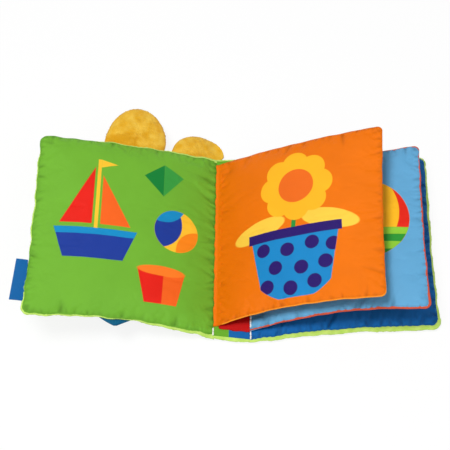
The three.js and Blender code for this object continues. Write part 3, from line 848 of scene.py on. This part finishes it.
def spine_crown(x, to_end):
    return swell(SPINE_CROWN_HALF - np.abs(x), 8) * swell(to_end, 8)


def spine_sheet(x, y, z, flipped, rings):
    """A grid surface with extra rings at its lower and upper end. rings(x, side) gives how far out
    each ring goes, and how much it rises."""
    index = np.arange(x.size).reshape(x.shape)
    points, faces = [xyz(x, y, z)], [grid_faces(*x.shape, flipped)]
    count = x.size
    for end, side in ((0, -1), (-1, 1)):
        last = index[:, end]
        for far, rise in rings(x[:, end], side):
            ring = count + np.arange(len(x))
            count += len(x)
            points.append(xyz(x[:, end], y[:, end] + side * far, z[:, end] + rise))
            quads = strip(last, ring)
            faces.append(quads if flipped != (side < 0) else quads[:, [0, 3, 2, 1]])
            last = ring
    return np.concatenate(points), np.concatenate(faces)


def add_spine():
    rng = np.random.default_rng(31)

    def lip(x, side):
        share = 2.1 - 0.7 * (x / SPINE_OUTER_HALF) ** 2 if side < 0 else 1.2
        for far, rise in VELOUR_LIP:
            yield share * far + rng.normal(0, FRAY, len(x)) * min(max(far, 0), 1), rise

    for colour, low, high, material in (
        ("green", -SPINE_HALF, SPINE_SPLIT, satin_green_plain_shaded),
        ("blue", SPINE_SPLIT, SPINE_HALF, satin_blue),
    ):
        x, y, to_end = spine_grid(low, high, 15)
        sunk = creases(rng, x, to_end, 5, 1.0, 6, 1.1)
        top = SPINE_TOP + SPINE_SWELL * spine_crown(x, to_end) - sunk
        points, faces = spine_sheet(x, y, top, False, lambda *end: [(0, -SPINE_WALL)])
        add_piece(
            f"spine_{colour}_cloth", points, faces, material, creased(points, sunk, 0),
            f"{colour}_satin", [f"spine_lining_{colour}"], "back_cover",
        )
    x, y, to_end = spine_grid(-SPINE_OUTER_HALF, SPINE_OUTER_HALF, 27)
    under = SEAM_LIFT * off_table(spine_crown(x, to_end))
    points, faces = spine_sheet(x, y, under, True, lip)
    add_piece(
        "spine_velour_cloth", points, faces, velour, points, "lime_velour",
        ["spine_velour", "spine_wadding"], "back_cover",
    )


# Stitches
LEAF_LOW, LEAF_HIGH = (LEAF_SHIFT + side * (LEAF_HEIGHT / 2 + 0.5) for side in (-1, 1))
LEAF_1_SHORT = 2.2
STITCH_PITCH, STITCH_LENGTH, STITCH_RADIUS = 3.4, 3.9, 0.75
STITCH_RINGS, STITCH_SIDES = 7, 8
STITCH_RISE = 0.35


def add_stitches():
    """Running stitches of white thread along both folds, a short capsule each. Those between the
    given ends are covered by a leaf, and lie lower or higher than the rest."""
    turns = np.arange(STITCH_SIDES) * 2 * np.pi / STITCH_SIDES
    t, turn = crossed(np.linspace(-1, 1, STITCH_RINGS), turns)
    radius = STITCH_RADIUS * np.sqrt(np.maximum(0.06, 1 - t**6))
    rise = radius * np.sin(turn) - 0.2 * t * t
    capsule = xyz(radius * np.cos(turn), t * STITCH_LENGTH / 2, rise)
    index, quads = ring_faces(STITCH_RINGS, STITCH_SIDES)
    capsule_faces = [*quads, index[0, :-1], index[-1, -2::-1]]
    for fold, x, low_end, high_end, covered in (
        ("front", -FOLD_X, LEAF_LOW + LEAF_1_SHORT, COVER_HEIGHT, -2.4),
        ("back", FOLD_X - 0.1, LEAF_LOW, LEAF_HIGH, 1.95),
    ):
        points, faces = [], []
        low = -COVER_HEIGHT / 2 - spine_run(x)
        for k in range(int((COVER_HEIGHT / 2 - low) / STITCH_PITCH)):
            middle = low + STITCH_PITCH / 2 + k * STITCH_PITCH
            z = SPINE_TOP + (covered if low_end < middle < high_end else STITCH_RISE)
            points.append(capsule + (x, middle, z))
            faces += [face + k * len(capsule) for face in capsule_faces]
        points = np.concatenate(points)
        add_piece(
            f"{fold}_fold_thread", points, faces, thread_white, points, "thread",
            [f"{fold}_fold_stitching"], "back_cover",
        )


# Leaves
FRONT_RIM = [(0.3, -0.2), (0.4, -0.55), (0.1, -0.8), (-1.0, -0.9)]
TUCKED_RIM = [(-0.2, 0.15), (-0.5, 0.4), (-1.2, 0.5)]
SHOWN_RIM = [(0.5, 0.15), (0.95, 0.5), (0.85, 0.85), (0.1, 0.95), (-1.0, 0.8)]
LEAF_SWELL = 1.6
LEAF_LEAST = 0.3
# Where the painted highlight runs along leaf 1's lower edge
LIT_EDGE_FROM, LIT_EDGE_BELOW = 6, -60
MARGIN_BACK, MARGIN_OUT, MARGIN_THICK = -2.9, 3.6, 1.2
MARGIN_BEND = ("back_cover", "leaf_1_margin", (-14.6, 0, 5.4), (-11.5, 0, 6))
STRIP_LEFT, STRIP_WIDTH, STRIP_THICK = -11.2, 26.4, 0.6


def coral_lip(x, y):
    """The cloth of a leaf's back shows past its front, least along the upper edge."""
    upper, lower = ends(y, 55, 15)
    from_fold = swell(x, 60)
    shown = uneven(x, y, 0.3, 0.75) * (1 - 0.9 * upper) * (1 - lower * (1 - from_fold))
    return shown + 0.55 * from_fold * lower


def add_leaf(name, x, tilt, panel, seed, depth, arches, corners, slant, front, back, bend):
    """A padded leaf. Its arch, the lift of its outer corners and their slant are each given for the
    upper and the lower edge."""

    def middle(out, row):
        far = share_of(out, LEAF_WIDTH) ** 1.5 * np.abs(row)
        along, y = panel.place(out, row)
        along = along + far * np.where(row > 0, *slant)
        arch = (arches[0] + arches[1]) / 2 + row * (arches[0] - arches[1]) / 2
        return along, y, far * np.where(row > 0, *corners) + arched(out, LEAF_WIDTH, arch)

    def puff(out, y):
        swelling = LEAF_PLUMP * panel.plump(out, y) + LEAF_SWELL * panel.crown(out, y)
        return LEAF_HALF_SEAM - 0.35 + swelling

    def form(out, row):
        along, y, z = middle(out, row)
        return along, y, z + puff(out, y)

    origin = (x, LEAF_SHIFT, LEAF_Z)
    for side, (material, slot, nodes, rim) in (("front", front), ("back", back)):
        upper = side == "front"
        out, row = panel.grid(STEP if upper else HIDDEN_STEP)
        along, y, z = middle(out, row)
        sunk = panel_relief(panel, out, y, seed if upper else seed + 1, depth, LEAF_PLUMP)
        swelling = puff(out, y) - sunk
        if upper:
            dx, dy, dz = settled(panel, out, row, form)
            z = z + np.maximum(swelling + dz, LEAF_LEAST)
            points, faces = rimmed(along + dx, y + dy, z, rim, False)
        else:
            z = z - np.maximum(swelling, LEAF_LEAST) * (0.3 + 0.7 * swell(out, 14))
            points, faces = rimmed(along, y, z, rim, True, coral_lip, fray=0.04)
        page = creased(points, sunk + panel.seam_shade(out, y), -LEAF_WIDTH / 2)
        # Painted highlight: points along leaf 1's lower edge are marked for its page to paint
        # lighter.
        if material is satin_orange:
            lit = (points[:, 1] < LIT_EDGE_BELOW) & (points[:, 0] > LIT_EDGE_FROM)
            lit[: out.size] &= (row < -0.999).ravel()
            page[lit, 2] = HIGHLIGHT_MARK
        add_piece(
            f"{name}_{side}_page", tilted(points, origin, -tilt), faces, material, page, slot,
            nodes, bend=bend,
        )


def leaf_panel(start, seed, lower, upper):
    return Panel(
        (LEAF_WIDTH, LEAF_HEIGHT, LEAF_CORNER), LEAF_MARGIN, (24, 22), start, seed, lower, upper,
        wave=0.22, fold_plump=WIDE_FOLD_PLUMP,
    )


def add_leaves():
    add_leaf(
        "leaf_1", LEAF_1_X, LEAF_1_TILT,
        leaf_panel(0.9, 41, lambda out: -LEAF_1_SHORT - 2.4 * swell(out, 60), straight),
        seed=41, depth=1.0,
        arches=(LEAF_1_ARCH, LEAF_1_ARCH), corners=(2.5, -1.0), slant=(3.2, -3.2),
        front=(satin_orange, "orange_satin", ["leaf_1_front_cloth", "leaf_1_wadding"], FRONT_RIM),
        back=(satin_red, "red_satin", ["leaf_1_back_cloth"], TUCKED_RIM),
        bend=("leaf_1_margin", "leaf_1", (-10.5, 0, 6.5), (-3.5, 0, 9.2)),
    )
    add_leaf(
        "leaf_2", LEAF_2_X, LEAF_2_TILT,
        leaf_panel(
            -0.4, 51, lambda out: 2.3 - 5.2 * swell(out, 120),
            lambda out: -5 * np.sin(np.pi * share_of(out, LEAF_WIDTH)),
        ),
        seed=51, depth=1.25,
        arches=(5.0, LEAF_2_ARCH), corners=(-5.0, 1.5), slant=(0.0, -1.0),
        front=(satin_sky, "sky_satin", ["leaf_2_front_cloth", "leaf_2_wadding"], FRONT_RIM),
        back=(satin_coral, "coral_satin", ["leaf_2_back_cloth"], SHOWN_RIM),
        bend=("back_cover", "leaf_2", (15.1, 0, LEAF_Z), (19.0, 0, 6.2)),
    )


def add_leaf_roots():
    """The sewn margin of leaf 1, and the strip of leaf cloth that lies on the spine."""
    half = LEAF_HEIGHT / 2
    rng = np.random.default_rng(61)
    columns = np.linspace(MARGIN_BACK, MARGIN_OUT, 14)
    outs, y = crossed(columns, np.linspace(LEAF_1_SHORT - half, half, 99))
    c, s = math.cos(LEAF_1_TILT), math.sin(LEAF_1_TILT)
    rise = 4 * LEAF_1_ARCH * outs / LEAF_WIDTH
    slope = math.tan(LEAF_1_TILT + math.atan(4 * LEAF_1_ARCH / LEAF_WIDTH))
    bent = np.clip(outs, -1.4, 0)
    lobes = sum(np.sin(2 * np.pi * y / step + step) for step in (8.7, 13.3, 21.1)) / 3
    sewn = outs - 0.6 * lobes * (outs / MARGIN_BACK) ** 2
    x = LEAF_1_X + np.where(outs > 0, c * outs - s * rise, sewn)
    z = LEAF_Z + np.where(outs > 0, s * outs + c * rise, slope * (bent + bent * bent / 2.8))
    z -= creases(rng, y, outs + 4, 8, 0.4, 9, 1.3)
    points, faces = thick_sheet(x, y + LEAF_SHIFT, z, MARGIN_THICK)
    page = points + (-LEAF_WIDTH / 2 - LEAF_1_X, 0, 0)
    add_piece(
        "leaf_1_sewn_margin", points, faces, satin_orange_plain, page, "orange_satin",
        ["leaf_1_margin"], bend=MARGIN_BEND,
    )
    columns = np.linspace(0, STRIP_WIDTH, 29) + STRIP_LEFT
    x, y = crossed(columns, np.linspace(-half, half, 99))
    hung = 3.2 * swell(x - STRIP_LEFT, STRIP_WIDTH) + 0.3 * np.sin(x / 1.7)
    y = np.where(y < 0, y * (1 + hung / half), y)
    z = SPINE_TOP + 1.05 + 0.3 * np.cos(np.pi * (x - 2) / 27)
    z -= creases(rng, x, np.clip(half + y, 0, None), 6, 0.4, 6, 1.3)
    points, faces = thick_sheet(x, y + LEAF_SHIFT, z, STRIP_THICK)
    cloth = add_piece(
        "leaf_strip_cloth", points, faces, satin_red, points, "red_satin",
        ["leaf_strip_top", "leaf_strip_underside"], "back_cover",
    )


# Side tag: a folded tape
TAG_DROP, TAG_LENGTH, TAG_WIDTH, TAG_THICK = 55.42, 37, 12, 1.0


def add_tag():
    rows = np.linspace(-TAG_LENGTH / 2, TAG_LENGTH / 2, 33) - TAG_DROP
    y, out = crossed(rows, np.linspace(0, TAG_WIDTH, 13))
    up = (y + TAG_DROP) / TAG_LENGTH
    x = -(COVER_WIDTH - HALF_SEAM) - CLOTH_GAP - out * (0.91 - 0.18 * up)
    z = 0.35 * np.sin(np.pi * out / TAG_WIDTH) + 0.25 * np.sin(np.pi * up)
    points, faces = thick_sheet(x, y, z, TAG_THICK)
    tag = add_piece(
        "side_tag_tape", on_front(points), faces, tag_tape, points, "tag_tape",
        ["side_tag"], "side_tag",
    )
    bevel = tag.modifiers.new("Rounding", "BEVEL")
    bevel.width = 0.25 * MM
    bevel.segments = 2
    bevel.angle_limit = math.radians(50)


# Plush head
ROUND = np.sin(np.linspace(0, np.pi / 2, 22))[1:]
HEAD_BACKING, PLUSH_THICK = 1.5, 1.6
PATCH_THICK, PATCH_BULGE = 0.8, 2.4
MUZZLE = (0, -12, 22, 17)
MUZZLE_SWELL = 4
EAR_RINGS = np.sin(np.linspace(0, np.pi / 2, 34))[1:]
EAR_SEGMENTS = 160
EAR_THICK, EAR_EDGE, EAR_BULGE, EAR_BLEND = 15, 3, 3.2, 0.9


def head_point(across, up):
    """The place on the front cover of a point that is given from the middle of the head."""
    c, s = math.cos(HEAD_LEAN), math.sin(HEAD_LEAN)
    return -HEAD_FROM_FOLD + across * c + up * s, HEAD_UP - across * s + up * c


def cover_above(x, y):
    return front_outer(np.clip(-x, -20, COVER_WIDTH), y)


def table_below(x):
    return -(FOLD_Z - 0.05 - x * math.sin(FRONT_TILT)) / math.cos(FRONT_TILT)


def face_outer(x, y):
    share = np.hypot(x + HEAD_FROM_FOLD, y - HEAD_UP) / HEAD_HALF
    stuffed = cover_above(x, y) - CLOTH_GAP - HEAD_BACKING - HEAD_SWELL * dome(share)
    return np.maximum(stuffed - PLUSH_THICK, table_below(x))


def add_head():
    rng = np.random.default_rng(71)

    def dressed(share, angle):
        radius = HEAD_HALF * share
        x, y = head_point(radius * np.cos(angle), radius * np.sin(angle))
        fuzz = ripples(rng, x, y, (5, 9, 16), 0.25) * dome(share)
        low = np.maximum(face_outer(x, y) + fuzz, table_below(x))
        high = np.minimum(low + PLUSH_THICK + 0.6 * share, cover_above(x, y) - CLOTH_GAP)
        return x, y, low, high

    points, faces = cushion(ROUND, 96, dressed)
    add_piece(
        "head_plush_face", on_front(points), faces, plush, points, "gold_plush",
        ["head_plush", "head_stuffing", "head_backing"], "front_cover",
    )


def ear_reach(spread, up, half_width, top, root):
    """How much of its full form an ear has in each direction, to stay clear of the spine."""
    angles = np.linspace(0, 2 * np.pi, EAR_SEGMENTS, endpoint=False)
    share, angle = crossed(np.linspace(0.2, 1, 161), angles)
    length = np.where(np.sin(angle) > 0, top, root)
    across = spread + half_width * share * np.cos(angle)
    x, y = head_point(across, up + length * share * np.sin(angle))
    limit = -2.5 + 14 * swell(y - COVER_HEIGHT / 2 - 2.1, 2.5) ** 2
    clear = np.logical_and.accumulate(x < limit, axis=0)
    far = share[np.maximum(clear.sum(axis=0) - 1, 0), 0]
    window = np.hanning(9)
    return np.convolve(np.concatenate([far[-4:], far, far[:4]]), window / window.sum(), "valid")


def add_ears():
    """Each ear is two half ellipses, made uneven by a few lobes."""
    for name, spread, up, half_width, top, root, (lobes, uneven_by, lean), seed in (
        ("ear_left", -26.8, 85.7, 26.8, 31.0, 44, (3, 0.03, 5.6), 81),
        ("ear_right", 31.0, 94.4, 23.6, 23.2, 52, (2, 0.05, 1.4), 82),
    ):
        rng = np.random.default_rng(seed)
        drawn = ear_reach(spread, up, half_width, top, root)

        def lobe(share, angle):
            length = np.where(np.sin(angle) > 0, top, root)
            frayed = rng.normal(0, 0.006, share.shape) * share**4
            frayed += 1 + uneven_by * share * np.cos(lobes * angle - lean)
            across = spread + half_width * share * drawn * np.cos(angle) * frayed
            level_up = up + length * share * drawn * np.sin(angle) * frayed
            inside = np.hypot(across, level_up) / (HEAD_HALF + 0.8)
            push = np.where(inside < 1, 1 / np.clip(inside, 0.01, None), 1)
            x, y = head_point(across * push, level_up * push)
            full = dome(share, EAR_BULGE)
            thinning = (EAR_THICK - EAR_EDGE) * (1 - full)
            high = cover_above(x, y) - CLOTH_GAP - 0.35 * thinning - 0.4
            low = np.maximum(high - EAR_THICK + thinning, table_below(x))
            fuzz = ripples(rng, x, y, (2.4, 3.7, 6.0), 0.25) + rng.normal(0, 0.10, x.shape)
            # The upper side passes smoothly into a rim of the edge's thickness.
            rim = low + EAR_EDGE / 2
            high = rim + EAR_BLEND * np.logaddexp(0, (high - rim) / EAR_BLEND) + fuzz * full
            return x, y, np.maximum(low - fuzz, table_below(x)), high

        points, faces = cushion(EAR_RINGS, EAR_SEGMENTS, lobe)
        page = points - (*head_point(spread, up), 0)
        add_piece(
            f"{name}_plush", on_front(points), faces, ear_plush, page, "gold_plush",
            [name], name,
        )


def patch(name, across, up, half_width, half_height, under, height, material, slot, node):
    """A small padded oval that is sewn on what it lies under."""

    def form(share, angle):
        along = across + half_width * share * np.cos(angle)
        x, y = head_point(along, up + half_height * share * np.sin(angle))
        high = under(x, y) - CLOTH_GAP
        flat = high - PATCH_THICK
        low = np.maximum(flat - height * dome(share, PATCH_BULGE), np.minimum(table_below(x), flat))
        return x, y, low, high

    points, faces = cushion(ROUND[::2], 56, form)
    add_piece(
        name, on_front(points), faces, material, points, slot, [node], "front_cover",
    )


def muzzle_outer(x, y):
    across, up, half_width, half_height = MUZZLE
    middle = head_point(across, up)
    share = np.hypot((x - middle[0]) / half_width, (y - middle[1]) / half_height)
    return face_outer(x, y) - CLOTH_GAP - PATCH_THICK - MUZZLE_SWELL * dome(share, PATCH_BULGE)


def add_face():
    patch("muzzle_plush", *MUZZLE, face_outer, MUZZLE_SWELL, plush_cream, "cream_plush", "muzzle")
    patch("nose_cloth", 0, -5, 7, 5, muzzle_outer, 1.4, brown_cloth, "brown_cloth", "nose")
    for side, across in (("left", -17), ("right", 17)):
        patch(
            f"eye_{side}_cloth", across, 11, 4.5, 4.5, face_outer, 1.2, brown_cloth, "brown_cloth",
            f"eye_{side}",
        )


# Neckerchief
BAND_INNER, BAND_DEPTH = HEAD_HALF + 0.9, 8
FLAP_HALF, FLAP_TIP_HALF, FLAP_TIP = 44, 1.5, (-84.0, -88.5)
FLAP_ROOT = HEAD_HALF + 8.5


def add_neckerchief():
    """A plump crescent under the chin and a pointed flap of doubled cloth."""
    turns = np.radians(np.linspace(188, 352, 83))
    angles, share = crossed(turns, np.linspace(0, 1, 13))
    depth = BAND_DEPTH * (-np.sin(angles)) ** 0.8
    radius = BAND_INNER + depth * share
    x, y = head_point(radius * np.cos(angles) * 0.985, radius * np.sin(angles))
    high = cover_above(x, y) - CLOTH_GAP
    folds = 0.5 * np.sin(9 * angles + 2 * share)
    body = dome(2 * share - 1) * share_of(depth, BAND_DEPTH)
    low = np.maximum(high - 1.0 - (4.6 + folds) * body, table_below(x))
    points, faces = thick_sheet(x, y, (high + low) / 2, high - low)
    add_piece(
        "neckerchief_band_cloth", on_front(points), faces, neck_cotton, points, "blue_cotton",
        ["neckerchief_band"], "front_cover",
    )
    row, column = crossed(np.linspace(0, 1, 41), np.linspace(-1, 1, 41))
    half = FLAP_HALF + (FLAP_TIP_HALF - FLAP_HALF) * row * row
    root = head_point(0, -FLAP_ROOT)
    bow = (FLAP_TIP[0] + 3, (root[1] + FLAP_TIP[1]) / 2)
    shares = ((1 - row) ** 2, 2 * row * (1 - row), row**2)
    x, y = (sum(share * at[k] for share, at in zip(shares, (root, bow, FLAP_TIP))) for k in (0, 1))
    lean = HEAD_LEAN * (1 - row) - 0.12 * row
    x, y = x + column * half * np.cos(lean), y - column * half * np.sin(lean)
    # The upper corners are drawn up along the band.
    around = np.arcsin(column * FLAP_HALF / (BAND_INNER + 6))
    edge = (BAND_INNER + BAND_DEPTH * np.cos(around) ** 0.8) * np.cos(around) + 0.5
    drawn_up = (FLAP_ROOT - edge) * (1 - 0.3 * np.abs(column) ** 6) * (1 - row) ** 2
    x, y = x + drawn_up * math.sin(HEAD_LEAN), y + drawn_up * math.cos(HEAD_LEAN)
    wave = 0.4 * np.sin(4 * np.pi * column) * row
    z = cover_above(x, y) - CLOTH_GAP - 0.75 - np.abs(wave)
    points, faces = thick_sheet(x, y, z, 1.0)
    creased_at = [np.array([(*head_point(0, -HEAD_HALF - down), -8.0)]) for down in (7, 13)]
    start, end = (on_front(point)[0] for point in creased_at)
    flap = add_piece(
        "neckerchief_flap_cloth", on_front(points), faces, neck_cotton, points, "blue_cotton",
        ["neckerchief_flap"], bend=("front_cover", "neckerchief_flap", start, end),
    )


# Rattle: the solids' own shapes, with better finishes
SHELL_COLOUR = (0.85, 0.89, 0.92)
BEAD_COLOURS = ((0.82, 0.23, 0.16), (0.95, 0.71, 0.11), (0.18, 0.50, 0.77), (0.31, 0.66, 0.24))


def dress_rattle():
    shell = moulded("rattle_shell", SHELL_COLOUR, 0.4)
    finishes = {"rattle_shell_front": shell, "rattle_shell_back": shell}
    for number, colour in enumerate(BEAD_COLOURS, 1):
        finishes[f"rattle_bead_{number}"] = moulded(f"bead_{number}", colour, 0.3)
    for node, material in finishes.items():
        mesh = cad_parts[node].data
        mesh.materials.clear()
        mesh.materials.append(material)


# Camera, floor and light
IMAGE_SIZE, SENSOR = 450, 36
CAMERA_ANGLES = (5.73, 63.30, -5.81)
CAMERA_DISTANCE, CAMERA_FOCAL, CAMERA_OFFSET = 0.900, 1015.0, (8.1, 20.9)
FLOOR_HALF, FLOOR_GREY, FLOOR_GLOW = 6, 0.92, 0.86
WORLD_LIGHT = 0.33
LAMPS = (("key", (-0.30, -0.12, 1.35), 13.2, 0.4), ("fill", (0.65, -0.6, 1.1), 4.5, 1.2))


def add_camera():
    azimuth, elevation, roll = map(math.radians, CAMERA_ANGLES)
    level = math.cos(elevation)
    back = Vector((math.sin(azimuth) * level, -math.cos(azimuth) * level, math.sin(elevation)))
    right = Vector((0, 0, 1)).cross(back).normalized()
    up = back.cross(right)
    turned_right = math.cos(roll) * right + math.sin(roll) * up
    turned_up = -math.sin(roll) * right + math.cos(roll) * up
    data = bpy.data.cameras.new("camera")
    data.sensor_width = SENSOR
    data.lens = CAMERA_FOCAL / IMAGE_SIZE * SENSOR
    data.shift_x = -CAMERA_OFFSET[0] / IMAGE_SIZE
    data.shift_y = CAMERA_OFFSET[1] / IMAGE_SIZE
    camera = bpy.data.objects.new("camera", data)
    turn = Matrix((turned_right, turned_up, back)).transposed().to_4x4()
    camera.matrix_world = Matrix.Translation(back * CAMERA_DISTANCE) @ turn
    scene.collection.objects.link(camera)
    scene.camera = camera


def seen_directly(tree):
    """1 for what the camera sees, straight or in gloss or glass, 0 for what only gives light."""
    rays = add_node(tree, "ShaderNodeLightPath").outputs
    seen = rays["Is Camera Ray"]
    for other in ("Is Glossy Ray", "Is Transmission Ray"):
        seen = add_math(tree, "MAXIMUM", seen, rays[other])
    return seen


def add_stage():
    mesh = bpy.data.meshes.new("floor")
    corners = [(FLOOR_HALF * x, FLOOR_HALF * y, 0) for x, y in ((-1, -1), (1, -1), (1, 1), (-1, 1))]
    mesh.from_pydata(corners, [], [(0, 1, 2, 3)])
    floor = bpy.data.objects.new("floor", mesh)
    scene.collection.objects.link(floor)
    material = bpy.data.materials.new("floor_white")
    material.use_nodes = True
    tree = material.node_tree
    tree.nodes.clear()
    grey = add_node(tree, "ShaderNodeBsdfDiffuse", {"Color": (FLOOR_GREY,) * 3 + (1,)})
    glow = add_node(tree, "ShaderNodeEmission", {"Strength": 1.0})
    share = add_math(tree, "MULTIPLY", seen_directly(tree), FLOOR_GLOW)
    mixed = {0: share, 1: grey.outputs[0], 2: glow.outputs[0]}
    both = add_node(tree, "ShaderNodeMixShader", mixed)
    add_node(tree, "ShaderNodeOutputMaterial", {"Surface": both.outputs[0]})
    mesh.materials.append(material)


def add_light():
    world = scene.world or bpy.data.worlds.new("world")
    scene.world = world
    world.use_nodes = True
    tree = world.node_tree
    background = tree.nodes["Background"]
    background.inputs["Color"].default_value = (1, 1, 1, 1)
    seen = seen_directly(tree)
    strength = add_math(tree, "MULTIPLY_ADD", seen, 1 - WORLD_LIGHT, WORLD_LIGHT)
    tree.links.new(strength, background.inputs["Strength"])
    for name, place, power, size in LAMPS:
        data = bpy.data.lights.new(name, "AREA")
        data.energy = power
        data.size = size
        lamp = bpy.data.objects.new(name, data)
        lamp.location = place
        lamp.rotation_mode = "QUATERNION"
        lamp.rotation_quaternion = (-Vector(place)).to_track_quat("-Z", "Y")
        scene.collection.objects.link(lamp)
    scene.view_settings.view_transform = "Standard"


add_camera()
add_front_cover()
add_back_cover()
add_spine()
add_stitches()
add_leaves()
add_leaf_roots()
add_tag()
add_head()
add_ears()
add_face()
add_neckerchief()
dress_rattle()
add_stage()
add_light()
